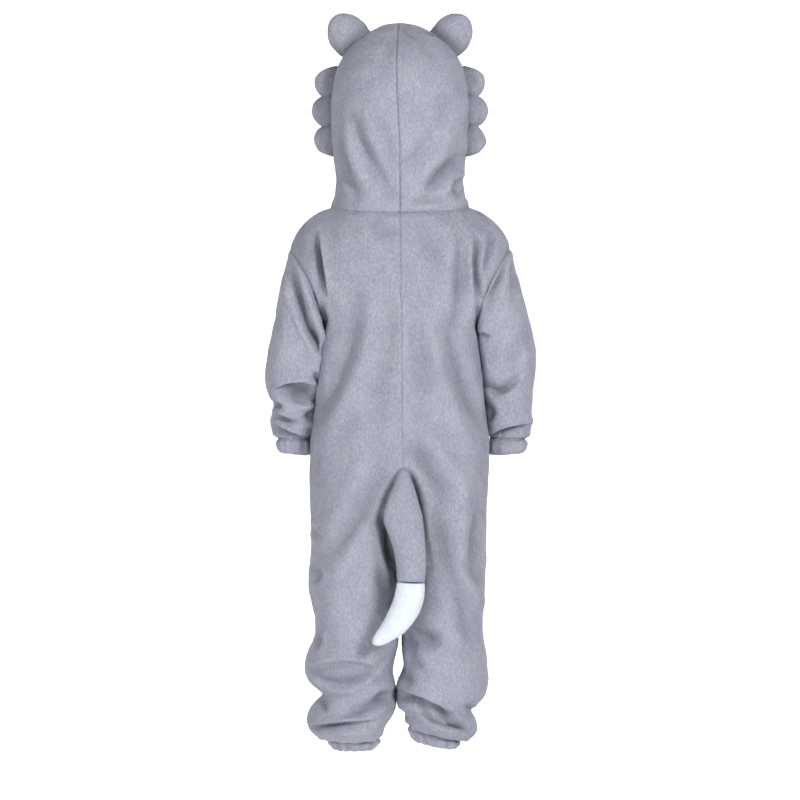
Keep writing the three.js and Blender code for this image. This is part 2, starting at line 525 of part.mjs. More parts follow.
// The corners of each cell of a grid, turned so that its shorter diagonal runs from the first.
function cellsOf({ points, closed }) {
  const columns = points[0].length;
  const cells = [];
  for (let r = 0; r + 1 < points.length; r++) {
    for (let c = 0; c < (closed ? columns : columns - 1); c++) {
      const n = (c + 1) % columns;
      const cell = [[r, c], [r, n], [r + 1, n], [r + 1, c]];
      const [a, b, d, e] = cell.map(([i, j]) => points[i][j]);
      if (a.distanceTo(d) > b.distanceTo(e)) cell.push(cell.shift());
      cells.push(cell);
    }
  }
  return cells;
}

// The rim between two edge points, outer and inner. Its diagonal starts at the higher outer point,
// so two pieces that share a seam fold their rims alike.
function rimTriangles(outerA, outerB, innerB, innerA) {
  if (outerA.z > outerB.z) return quadTriangles(outerA, outerB, innerB, innerA);
  return quadTriangles(outerB, innerB, innerA, outerA);
}

// A wall of cloth of some thickness inside a grid: an outer face, an inner face and a rim all
// round. The edges named in edges draw back by half the seam gap.
function wallTriangles({ points, closed, edges }, normalAt, thickness) {
  const rows = points.length;
  const columns = points[0].length;
  const drawn = points.map((row) => row.map((point) => point.clone()));
  const column = (c) => (closed ? (c + columns) % columns : clamp(c, 0, columns - 1));
  const alongRow = (r, c) => [points[r][column(c - 1)], points[r][column(c + 1)]];
  const alongColumn = (r, c) => [points[Math.max(r - 1, 0)][c], points[Math.min(r + 1, rows - 1)][c]];
  // Each edge point moves off the seam, square to the line of the edge.
  const draw = (r, c, toR, toC) => {
    const away = points[toR][toC].clone().sub(points[r][c]);
    if (away.length() === 0) return;
    const [before, after] = toR !== r ? alongRow(r, c) : alongColumn(r, c);
    const edge = after.clone().sub(before).normalize();
    away.addScaledVector(edge, -away.dot(edge));
    drawn[r][c].addScaledVector(away.normalize(), SEAM_GAP / 2);
  };
  for (let c = 0; c < columns; c++) {
    if (edges.includes("top")) draw(0, c, 1, c);
    if (edges.includes("bottom")) draw(rows - 1, c, rows - 2, c);
  }
  for (let r = 0; r < rows; r++) {
    if (edges.includes("first")) draw(r, 0, r, 1);
    if (edges.includes("last")) draw(r, columns - 1, r, columns - 2);
  }
  const outer = drawn;
  const inner = drawn.map((row, r) =>
    row.map((point, c) => point.clone().addScaledVector(normalAt(points[r][c]), -thickness)),
  );
  const triangles = [];
  for (const cell of cellsOf({ points, closed })) {
    const pick = (grid) => cell.map(([i, j]) => grid[i][j]);
    triangles.push(...quadTriangles(...pick(outer)));
    triangles.push(...quadTriangles(...pick(inner)).map(([i, j, k]) => [i, k, j]));
  }
  for (let c = 0; c < (closed ? columns : columns - 1); c++) {
    const n = (c + 1) % columns;
    const b = rows - 1;
    triangles.push(...rimTriangles(outer[0][n], outer[0][c], inner[0][c], inner[0][n]));
    triangles.push(...rimTriangles(outer[b][c], outer[b][n], inner[b][n], inner[b][c]));
  }
  for (let r = 0; !closed && r + 1 < rows; r++) {
    const e = columns - 1;
    triangles.push(...rimTriangles(outer[r][0], outer[r + 1][0], inner[r + 1][0], inner[r][0]));
    triangles.push(...rimTriangles(outer[r + 1][e], outer[r][e], inner[r][e], inner[r + 1][e]));
  }
  return triangles;
}

function addMesh(name, geometry, material) {
  const mesh = new THREE.Mesh(geometry, material);
  mesh.name = name;
  garment.add(mesh);
}

// A stuffed solid through closed rings of points, with a flat fan over each end.
function loft(rings) {
  const triangles = [];
  const columns = rings[0].length;
  for (let c = 0; c < columns; c++) {
    const n = (c + 1) % columns;
    for (let r = 0; r + 1 < rings.length; r++)
      triangles.push(...quadTriangles(rings[r][c], rings[r][n], rings[r + 1][n], rings[r + 1][c]));
    const [first, end] = [rings[0], rings[rings.length - 1]];
    triangles.push([first[n], first[c], middleOf(first)]);
    triangles.push([end[c], end[n], middleOf(end)]);
  }
  return closedGeometry(triangles);
}

const middleOf = (ring) =>
  ring.reduce((sum, point) => sum.add(point), new THREE.Vector3()).divideScalar(ring.length);

const turnsOf = (columns) => Array.from({ length: columns }, (_, c) => (2 * Math.PI * c) / columns);

// The point of the garment's surface met from a point outside it, short of it by the seat gap.
function onSurface(point, into) {
  const start = point.clone().addScaledVector(into, -SEAT_REACH);
  const [hit] = new THREE.Raycaster(start, into).intersectObject(skin);
  const square = Math.max(Math.abs(hit.face.normal.dot(into)), 0.5);
  return hit.point.addScaledVector(into, -SEAT_GAP / square);
}

// A root ring laid on the garment, filled with smaller rings that follow the surface.
function rootRings(ring, into) {
  const middle = middleOf(ring);
  return [0.12, 0.4, 0.7, 1].map((size) =>
    ring.map((point) => onSurface(middle.clone().lerp(point, size), into)),
  );
}

function earGeometry(side) {
  const lean = radians(EAR.lean);
  const up = new THREE.Vector3(side * Math.sin(lean), 0, Math.cos(lean));
  const across = new THREE.Vector3(side * Math.cos(lean), 0, -Math.sin(lean));
  const base = new THREE.Vector3(side * EAR.baseX, EAR.baseY, EAR.baseZ);
  const rings = EAR_SECTIONS.map(({ up: height, halfWidth, halfThickness }) =>
    turnsOf(16).map((turn) => {
      const cup = EAR.back * Math.cos(turn) ** 2 * (halfWidth / EAR_SECTIONS[0].halfWidth) ** 2;
      const point = base.clone().addScaledVector(up, height);
      point.addScaledVector(across, halfWidth * power(Math.cos(turn), 0.85));
      point.y += halfThickness * power(Math.sin(turn), 0.85) - cup * Math.min(height / 20, 1);
      return point;
    }),
  );
  return loft([...rootRings(rings[0], up.clone().negate()), ...rings.slice(1)]);
}

// A tuft is a stack of level sections. Their reach follows the outline of the three round lobes,
// and the points of their root lie on the hood.
function tuftGeometry(side) {
  const into = new THREE.Vector3(-side, 0, 0);
  const rings = [];
  for (let r = 0; r <= TUFT_ROWS; r++) {
    const z = lerp(TUFT.top, TUFT.bottom, r / TUFT_ROWS);
    const bulge = (lobe) => Math.sqrt(Math.max(1 - ((z - lobe.z) / lobe.halfHeight) ** 2, 0));
    const round = Math.max(...TUFT_LOBES.map(bulge));
    const lobe = TUFT_LOBES.find((one) => bulge(one) === round) ?? TUFT_LOBES[0];
    const between = z < TUFT_LOBES[0].z && z > TUFT_LOBES[2].z;
    const least = between ? TUFT.notch : TUFT.end;
    const reach = lerp(least, lobe.reach, round);
    const thickness = TUFT.halfThickness * lerp(0.42, 1, round ** 0.8);
    rings.push(
      turnsOf(12).map((turn) => {
        const y = TUFT.y + thickness * power(Math.sin(turn), 0.8);
        const root = onSurface(new THREE.Vector3(0, y, z), into);
        const out = Math.max(power(Math.cos(turn), 0.8), 0);
        return new THREE.Vector3(lerp(root.x, side * reach, out), y, z);
      }),
    );
  }
  return loft(rings);
}

// The tail's sections stand square to its middle line.
function tailRings(sections, from, to) {
  const rings = [];
  for (let r = from; r <= to; r++) {
    const at = sections[r];
    const before = sections[Math.max(r - 1, 0)];
    const after = sections[Math.min(r + 1, sections.length - 1)];
    const along = new THREE.Vector3(after.x - before.x, after.y - before.y, after.z - before.z).normalize();
    const across = new THREE.Vector3(0, 1, 0).cross(along).normalize();
    const deep = along.clone().cross(across).normalize();
    rings.push(
      turnsOf(14).map((turn) =>
        new THREE.Vector3(at.x, at.y, at.z)
          .addScaledVector(across, at.halfWidth * Math.cos(turn))
          .addScaledVector(deep, at.halfDepth * Math.sin(turn)),
      ),
    );
  }
  return rings;
}

// The same ring, moved towards another by a small distance.
function shifted(ring, other, distance) {
  const step = middleOf(other).sub(middleOf(ring)).normalize().multiplyScalar(distance);
  return ring.map((point) => point.clone().add(step));
}

// The two halves of the body, then the sleeves, bands and hood that share their edges.
const sides = [
  { word: "left", side: 1, sleeve: SLEEVE_LEFT, wrist: WRIST_LEFT, ankle: ANKLE_LEFT },
  { word: "right", side: -1, sleeve: SLEEVE_RIGHT, wrist: WRIST_RIGHT, ankle: ANKLE_RIGHT },
];
const cloth = [];
for (const { word, side, sleeve, wrist, ankle } of sides) {
  const body = bodyGrid(`body_${word}`, side);
  const shoulderEdge = (face) => [
    ...YOKE_ROWS.map((drop) => yokePoint(side, face, 1, drop)),
    body[YOKE_ROWS.length][HALF_COLUMNS],
  ];
  const [edgeBack, edgeFront] = [shoulderEdge(1), shoulderEdge(-1)];
  // The front and back panels part at the side seam, and above it at the armhole.
  const half = (face) =>
    body.map((row, r) => {
      const part = face > 0 ? row.slice(HALF_COLUMNS) : row.slice(0, HALF_COLUMNS + 1);
      const edge = (face > 0 ? edgeBack : edgeFront)[r];
      if (edge && r < YOKE_ROWS.length) part[face > 0 ? 0 : HALF_COLUMNS] = edge;
      return part;
    });
  const front = half(-1);
  for (const [row] of front) if (row.z >= ZIP.bottomZ && row.x === 0) row.x = side * ZIP.halfWidth;
  const all = ["top", "bottom", "first", "last"];
  cloth.push({ name: `front_${word}`, points: front, edges: all, flip: side > 0 });
  cloth.push({ name: `back_${word}`, points: half(1), edges: all, flip: side > 0 });
  const ring = armholeRing({
    edgeBack: edgeBack.map((point) => ({ [HALF_COLUMNS]: point })),
    edgeFront: edgeFront.map((point) => ({ [HALF_COLUMNS]: point })),
  });
  const arm = sleeveGrid(`sleeve_${word}`, side, sleeve, ring);
  cloth.push({ name: `sleeve_${word}`, points: arm, closed: true, edges: ["top"], flip: side > 0 });
  const wristBand = bandGrid(side, wrist, GATHERS.wrist);
  cloth.push({ name: `wrist_band_${word}`, points: wristBand, closed: true, edges: [], flip: side > 0 });
  const ankleBand = bandGrid(side, ankle, GATHERS.ankle);
  cloth.push({ name: `ankle_band_${word}`, points: ankleBand, closed: true, edges: [], flip: side > 0 });
  const hood = hoodGrid(`hood_${word}`, side);
  hood[0][2 * NECK_COLUMNS].x = side * ZIP.halfWidth;
  cloth.push({ name: `hood_${word}`, points: hood, edges: all, flip: side > 0 });
}
const normalAt = sharedNormals(cloth);
for (const piece of cloth) {
  const triangles = wallTriangles(piece, normalAt, CLOTH);
  addMesh(piece.name, closedGeometry(triangles), GREY_PLUSH);
}

// The garment's own surface, which the roots of the stuffed pieces lie on.
const surface = cloth.flatMap((piece) =>
  cellsOf(piece).flatMap((cell) => quadTriangles(...cell.map(([i, j]) => piece.points[i][j]))),
);
const skin = new THREE.Mesh(
  new THREE.BufferGeometry().setFromPoints(surface.flat()),
  new THREE.MeshBasicMaterial({ side: THREE.DoubleSide }),
);

for (const { word, side } of sides) {
  addMesh(`ear_${word}`, earGeometry(side), GREY_PLUSH);
  addMesh(`cheek_tuft_${word}`, tuftGeometry(side), GREY_PLUSH);
}

// The tail's first ring lies on the centre back seam, and the next ones clear the cloth.
const intoBack = new THREE.Vector3(0, -1, 0);
const tail = tailRings(TAIL, 0, TAIL_TIP_FROM).map((ring) =>
  ring.map((point) => {
    const seat = onSurface(point, intoBack);
    return point.y > seat.y ? point : new THREE.Vector3(point.x, seat.y, point.z);
  }),
);
const tip = tailRings(TAIL, TAIL_TIP_FROM, TAIL.length - 1);
tail[tail.length - 1] = shifted(tail[tail.length - 1], tail[tail.length - 2], SEAM_GAP / 2);
tip[0] = shifted(tip[0], tip[1], SEAM_GAP / 2);
addMesh("tail", loft([...rootRings(tail[0], intoBack), ...tail.slice(1)]), GREY_PLUSH);
addMesh("tail_tip", loft(tip), WHITE_PLUSH);

// The zip lies between the two fronts, a little behind their faces.
const centreFront = [];
for (const drop of YOKE_ROWS) centreFront.push(yokePoint(1, -1, 0, drop));
for (const row of TORSO) if (row.z >= ZIP.bottomZ) centreFront.push(sectionPoint(1, row, -1));
centreFront[0].z -= 1;
const zipHalf = ZIP.halfWidth - ZIP.clearance;
const zipGrid = centreFront.map((point) => [
  new THREE.Vector3(-zipHalf, point.y + ZIP.recess, point.z),
  new THREE.Vector3(zipHalf, point.y + ZIP.recess, point.z),
]);
const forward = () => new THREE.Vector3(0, -1, 0);
const zipWall = wallTriangles({ points: zipGrid, edges: [] }, forward, ZIP.tape);
addMesh("zip", closedGeometry(zipWall), ZIP_TAPE);

// The slider and its pull lie along the slope of the chest, in a frame of their own.
const slope = new THREE.Matrix4().makeRotationX(radians(-SLIDER.slope));
const zipY = -yokeFront(SLIDER.z) + ZIP.recess - SLIDER.lift;
slope.setPosition(0, zipY, SLIDER.z);

function block(width, depth, height, x, y, z) {
  return new THREE.BoxGeometry(width, depth, height).translate(x, y, z);
}

function solidOf(geometry) {
  const merged = mergeVertices(new THREE.BufferGeometry().setFromPoints(pointsOf(geometry)));
  const mesh = new wasm.Mesh({
    numProp: 3,
    vertProperties: merged.attributes.position.array,
    triVerts: new Uint32Array(merged.index.array),
  });
  return new wasm.Manifold(mesh);
}

function pointsOf(geometry) {
  const flat = geometry.toNonIndexed().getAttribute("position");
  return Array.from({ length: flat.count }, (_, i) => new THREE.Vector3().fromBufferAttribute(flat, i));
}

function geometryOf(solid) {
  const { vertProperties, triVerts } = solid.getMesh();
  const geometry = new THREE.BufferGeometry();
  geometry.setAttribute("position", new THREE.BufferAttribute(vertProperties.slice(), 3));
  return geometry.setIndex(new THREE.BufferAttribute(triVerts.slice(), 1));
}

const wasm = await Module();
wasm.setup();
const { width, depth, height } = SLIDER;
const bridgeTop = BRIDGE.z + BRIDGE.height / 2;
const legReach = BRIDGE.rise + depth / 2;
const halfBridge = BRIDGE.thickness / 2;
const bridgeParts = [
  block(BRIDGE.width, BRIDGE.thickness, BRIDGE.height, 0, -depth - BRIDGE.rise + halfBridge, BRIDGE.z),
  ...[1, -1].map((end) => {
    const z = BRIDGE.z + (end * (BRIDGE.height - BRIDGE.thickness)) / 2;
    return block(BRIDGE.width, legReach, BRIDGE.thickness, 0, -depth / 2 - legReach / 2, z);
  }),
];
const slider = bridgeParts.reduce(
  (solid, part) => solid.add(solidOf(part)),
  solidOf(block(width, depth, height, 0, -depth / 2, 0)),
);
addMesh("zip_slider", geometryOf(slider).applyMatrix4(slope), ZIP_METAL);

// The pull is cut from plate: a crossbar under the bridge, a window and a tongue that widens down.
const [halfTop, halfEnd] = [PULL.width / 2, PULL.endWidth / 2];
const plate = new THREE.Shape();
plate.moveTo(-halfTop, PULL.holeTop);
plate.lineTo(halfTop, PULL.holeTop);
plate.lineTo(halfEnd, halfEnd - PULL.length);
plate.absarc(0, halfEnd - PULL.length, halfEnd, 0, -Math.PI, true);
plate.closePath();
const gap = new THREE.Path();
const halfGap = halfTop - PULL.arm;
gap.moveTo(-halfGap, -PULL.holeTop);
gap.lineTo(-halfGap, -PULL.holeBottom);
gap.lineTo(halfGap, -PULL.holeBottom);
gap.lineTo(halfGap, -PULL.holeTop);
gap.closePath();
plate.holes.push(gap);
const pull = new THREE.ExtrudeGeometry(plate, { depth: PULL.thickness, bevelEnabled: false, curveSegments: 8 });
pull.translate(0, 0, -PULL.thickness / 2).rotateX(Math.PI / 2);
const pullY = -depth - (BRIDGE.rise - BRIDGE.thickness) / 2;
const pullZ = bridgeTop - BRIDGE.height + BRIDGE.thickness + PULL.holeTop + 0.25;
pull.translate(0, pullY, pullZ).applyMatrix4(slope);
addMesh("zip_pull", pull, ZIP_METAL);

export default garment;
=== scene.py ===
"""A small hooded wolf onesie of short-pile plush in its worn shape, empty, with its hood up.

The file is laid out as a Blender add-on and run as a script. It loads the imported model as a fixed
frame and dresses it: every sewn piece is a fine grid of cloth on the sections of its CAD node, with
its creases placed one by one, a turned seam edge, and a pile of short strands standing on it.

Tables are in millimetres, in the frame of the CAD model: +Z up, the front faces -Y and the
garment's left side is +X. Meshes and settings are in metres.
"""

import bmesh
import bpy
import numpy as np
from bpy.props import FloatProperty, FloatVectorProperty, PointerProperty
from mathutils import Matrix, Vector


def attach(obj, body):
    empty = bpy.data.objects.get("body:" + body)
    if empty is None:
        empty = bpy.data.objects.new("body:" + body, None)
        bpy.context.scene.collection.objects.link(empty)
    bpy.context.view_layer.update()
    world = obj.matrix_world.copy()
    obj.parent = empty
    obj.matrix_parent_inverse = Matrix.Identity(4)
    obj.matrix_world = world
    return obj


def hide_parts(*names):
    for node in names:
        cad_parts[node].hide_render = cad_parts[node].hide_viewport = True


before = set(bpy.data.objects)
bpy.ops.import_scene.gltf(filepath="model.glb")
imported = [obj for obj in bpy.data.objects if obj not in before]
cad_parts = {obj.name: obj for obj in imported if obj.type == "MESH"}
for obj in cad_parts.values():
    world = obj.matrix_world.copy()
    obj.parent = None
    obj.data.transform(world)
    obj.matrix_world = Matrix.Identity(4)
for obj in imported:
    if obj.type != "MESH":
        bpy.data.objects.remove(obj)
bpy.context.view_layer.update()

bl_info = {
    "name": "Wolf Onesie",
    "version": (1, 0, 0),
    "blender": (4, 5, 0),
    "location": "3D View > Sidebar > Wolf Onesie",
    "description": "Builds a small hooded plush wolf onesie in its worn shape, empty",
    "category": "Object",
}

GARMENT = "garment"
PULL_BODY = "zip_pull"
MM = 0.001
WELD = 0.02 * MM
SIDES = (("left", 1), ("right", -1))


# Tables of sections, the same as the CAD model's


def table(columns, rows):
    """Named columns of numbers, with a row for each section."""
    return dict(zip(columns.split(), np.array(rows, float).T))


SQUARENESS = 2.2
NECK_HALF_WIDTH, NECK_SIDE_Z, NECK_BACK_Z, NECK_FRONT_Z = 94, 10, -3, -20
SHOULDER_X, SHOULDER_Z, SHOULDER_ROUNDING = 150, -46, 80
UNDERARM_Z = -152
YOKE_LENGTH = 150
CROTCH_Z = -479
FINE_ROWS_BELOW_Z, LEGS_TOUCH_Z, LEGS_MEET_Z = -585, -654, -647
NECK_SHARE = 5 / 8
# The crease depth in millimetres that gets the full painted shade
FULL_SHADE_DEPTH = 9
ZIP_HALF_WIDTH, ZIP_BOTTOM_Z, ZIP_RECESS = 4.6, -388, 0.9

RIDGE = table("x z", [
    (0, 42), (45, 37), (75, 24), (94, 10), (108, 5), (122, -4), (134, -15), (143, -28), (150, -46),
])
ARMHOLE = table("z edge width", [
    (-46, 150, 157), (-58, 142, 156), (-75, 132, 155), (-95, 121, 150), (-115, 113, 133),
    (-135, 107, 116), (-152, 104, 104),
])
YOKE_DEPTH = table("z front back", [
    (10, 69, 84), (-20, 70, 83), (-60, 79, 84), (-100, 83, 85), (-152, 83, 84),
])
TORSO = [
    (-152, -104, 104, 83, 84, 0), (-174, -107, 107, 85, 84, 0),
    (-202, -109.5, 109.5, 88, 84, 0), (-230, -112, 112, 91, 85, 0),
    (-258, -115, 115, 93, 87, 0), (-290, -118.5, 118.5, 94, 91, 0),
    (-322, -121, 121, 94, 94, 0), (-356, -122, 122, 92, 96, 0),
    (-388, -119, 121.5, 89, 95, 0), (-412, -98, 121, 87, 92, 0),
    (-432, -66, 120.5, 85, 89, 0), (-448, -36, 120.5, 84, 87, 0),
    (-460, -18, 121, 83, 85, 0), (-469, -7.5, 121.5, 82, 84, 0), (-475, -2.5, 122, 81, 83, 0),
]
LEG_COLUMNS = "z inner outer front back tilt"
LEG_LEFT = table(LEG_COLUMNS, TORSO + [
    (-479, 0, 122.5, 80, 82, 0), (-487, 0.8, 123, 78, 81, 0), (-498, 0.9, 123.5, 76, 79, 0),
    (-529, 0.9, 120, 72, 74, 0), (-552, 0.9, 116, 70, 71, 0), (-574, 1, 117.5, 68, 69, 0),
    (-592, 4.5, 125, 70, 71, 0), (-607, 8, 129.5, 72, 74, 0), (-620, 10, 129, 72, 74, 0),
    (-631, 8.5, 124, 69, 70, 0), (-641, 6.6, 114, 64, 64, 0), (-650, 6.2, 106, 61, 60, 0),
    (-659, 6.2, 112, 63, 63, 0), (-669, 7, 121, 68, 67, 0), (-680, 10, 126, 72, 70, 0),
    (-690, 16, 126.5, 72, 69, 0), (-699, 22, 123, 68, 64, 0), (-706, 26, 114, 58, 54, 0),
    (-710, 26.5, 100, 42, 39, 0),
])
LEG_RIGHT = table(LEG_COLUMNS, TORSO + [
    (-479, 0, 120, 80, 82, 0), (-487, 0.8, 117.5, 78, 81, 0), (-498, 0.9, 116, 76, 79, 0),
    (-529, 0.9, 114, 72, 74, 0), (-552, 0.9, 112, 70, 71, 0), (-574, 1, 113, 69, 70, 0),
    (-592, 2.5, 116, 70, 72, 0), (-607, 5, 118, 72, 74, 0), (-620, 2.5, 119.5, 73, 75, 0),
    (-631, -2, 120, 73, 75, 0), (-642, -4.6, 119, 71, 72, 0), (-652, -4.8, 114.5, 67, 67, 0),
    (-661, -4, 105, 61, 61, -1), (-669, -1, 97, 58, 58, -3), (-677, 4, 100, 61, 61, -6),
    (-685, 8, 103.5, 63, 63, -8), (-693, 9.5, 103, 60, 60, -9), (-699, 10, 95, 52, 50, -10),
    (-702, 10.5, 82, 40, 37, -10),
])
# The right hip runs straight into its leg, a little inside the CAD model's
LEG_RIGHT["outer"] -= np.interp(-LEG_RIGHT["z"], [300, 475, 479, 487, 498], [0, 5.4, 3.5, 1.3, 0])
LIMB_COLUMNS = "outer_x outer_z inner_x inner_z middle front back"
SLEEVE_LEFT = table(LIMB_COLUMNS, [
    (150, -46, 104, -152, 0, 52, 54), (155.5, -66, 107.5, -163, 0, 51, 52),
    (162, -97, 109, -173, -2, 50, 49), (169, -130, 110.5, -184, -5, 48, 46),
    (176, -164, 112, -196, -8, 46, 44), (181.5, -196, 114, -213, -12, 45, 43),
    (184, -221, 116, -230, -15, 44, 43), (181.5, -240, 118.5, -245, -18, 41, 40),
    (174.5, -255, 121, -258, -20, 35, 34), (176, -267, 121, -269, -22, 37, 36),
    (178.5, -280, 121.5, -281, -24, 38, 37), (177, -291, 122, -291, -25, 36, 35),
    (172.5, -300, 123, -299, -26, 31, 30), (169, -304, 123.5, -303, -26, 27, 26),
])
SLEEVE_RIGHT = table(LIMB_COLUMNS, [
    (150, -46, 104, -152, 0, 52, 54), (156.5, -66, 107.5, -163, 0, 51, 52),
    (165, -97, 109.5, -173, -2, 50, 49), (174, -130, 111, -185, -5, 48, 46),
    (181, -162, 113, -196, -8, 47, 45), (184.5, -190, 115, -211, -12, 46, 44),
    (184, -214, 116.5, -227, -15, 45, 43), (182, -236, 118, -242, -18, 42, 41),
    (181.5, -253, 119.5, -256, -20, 39, 38), (180.5, -266, 121, -268, -22, 38, 37),
    (182.5, -280, 121.5, -281, -24, 38, 37), (180, -292, 122, -291, -25, 36, 35),
    (176.5, -301, 123.5, -299, -26, 31, 30), (173, -305, 124, -303, -26, 27, 26),
])
ARMHOLE_ROWS = np.array([0, 0.04, 0.15, 0.34, 0.54, 0.735, 0.905, 1])
ARMHOLE_FADE = np.array([1, 0.62, 0.28, 0.08, 0])
WRISTS = {
    "left": table(LIMB_COLUMNS, [
        (168.5, -304, 124, -303.2, -26, 26.5, 25.5), (169.5, -309, 122, -309, -26, 28, 27),
        (168, -317, 121.5, -317, -26.5, 27.5, 26.5), (163.5, -324.5, 123.5, -325, -27, 25, 24),
        (157, -328, 127, -330, -27, 21.5, 20.5),
    ]),
    "right": table(LIMB_COLUMNS, [
        (172.5, -305, 124.5, -303.2, -26, 26.5, 25.5), (174, -309, 122.5, -309, -26, 28, 27),
        (172.5, -317, 121.5, -317, -26.5, 27.5, 26.5), (168, -324.5, 123.5, -325, -27, 25, 24),
        (161, -328.5, 128, -330, -27, 21.5, 20.5),
    ]),
}
ANKLES = {
    "left": table(LIMB_COLUMNS, [
        (99, -710.2, 27.2, -710.2, -1, 38, 37), (98, -714, 27.5, -714, -1, 37, 36),
        (95.5, -719, 29.5, -719, -1, 35, 34), (90, -725.5, 35, -725.5, -1, 30, 29),
        (83, -729, 42, -729, -1, 25, 25),
    ]),
    "right": table(LIMB_COLUMNS, [
        (81.3, -712.2, 11.2, -692.4, -1, 37, 36), (81, -716, 12, -698, -1, 36, 35),
        (79.5, -720, 14.5, -707, -1, 34, 33), (74.5, -725, 20, -714.5, -1, 30, 29),
        (68, -727.5, 27, -719, -1, 25, 25),
    ]),
}
HOOD = table("z side back front face", [
    (10, 94, 75, 66, 180), (20, 91, 77, 72, 166), (31, 88, 79, 78, 153), (43, 86.5, 82, 84, 144),
    (62, 88, 88, 90, 138), (84, 91, 93, 94, 135), (106, 93, 96, 96, 134), (128, 94, 98, 97, 134),
    (150, 94, 98.5, 97, 136), (170, 92.5, 97, 95.5, 140), (187, 89.5, 93, 92, 148),
    (201, 85, 86.5, 86, 161), (212, 79.5, 79.5, 79, 180), (224, 70.5, 70, 70, 180),
    (236, 58.5, 58, 58, 180), (247, 43, 43, 43, 180), (256, 25, 25, 25, 180), (261, 0, 0, 0, 180),
])
HOOD_WEIGHTS = {"face": 0.0, "front": 0.4, "back": 0.4}
NECK_FADE = np.array([1, 0.7, 0.38, 0.14, 0])
EAR_BASE, EAR_LEAN, EAR_CUP = (58, -10, 232), 41, 6
EAR = table("up half_width half_thickness", [
    (-5, 24, 9), (0, 25, 10), (8, 26.5, 12), (16, 27, 13), (24, 26.5, 13), (34, 23, 11.5),
    (42, 17, 9), (47, 10, 6), (49, 5, 3.4), (49.7, 0, 0),
])
TUFT_ROOT_X, TUFT_Y, TUFT_HALF_THICKNESS, TUFT_NOTCH, TUFT_END = 78, -16, 12.5, 100, 84
TUFT_TOP, TUFT_BOTTOM = 204, 80
TUFT_LOBES = table("z reach half_height", [(183, 118, 21.5), (143, 122, 21.5), (102, 119, 21.5)])
TAIL = table("x y z half_width half_depth", [
    (-4, 89, -347, 5, 7), (-4.5, 103, -352, 9, 9.5), (-5, 110, -368, 15, 12),
    (-4, 111, -388, 22, 14.5), (-4, 113, -406, 26.5, 16), (-8, 114, -421, 25, 17),
    (-11.5, 114, -438, 22.5, 17), (-14, 113, -460, 20.5, 17), (-14.5, 112, -491, 19.5, 16.5),
    (-12, 111, -511, 20, 16.5), (-5.5, 109, -529, 19.5, 16), (5, 107, -545, 17, 14.5),
    (16, 105, -557, 13.5, 12), (26, 103, -566, 9.5, 8.5), (33, 101.6, -571, 5, 4.8),
    (36, 101, -573, 0, 0),
])
TAIL_TIP_ROW = 8

# Where each seam's pull comes from: a point, or with a height of 0 the upright line through it
NECK_CENTRE = (0, 5, 0)
ARMHOLE_CENTRE = (118, 0, -102)
SLEEVE_ENDS = {"left": (146, -26, 0), "right": (-148, -26, 0)}
LEG_ENDS = {"left": (63, -1, 0), "right": (-46, -1, 0)}

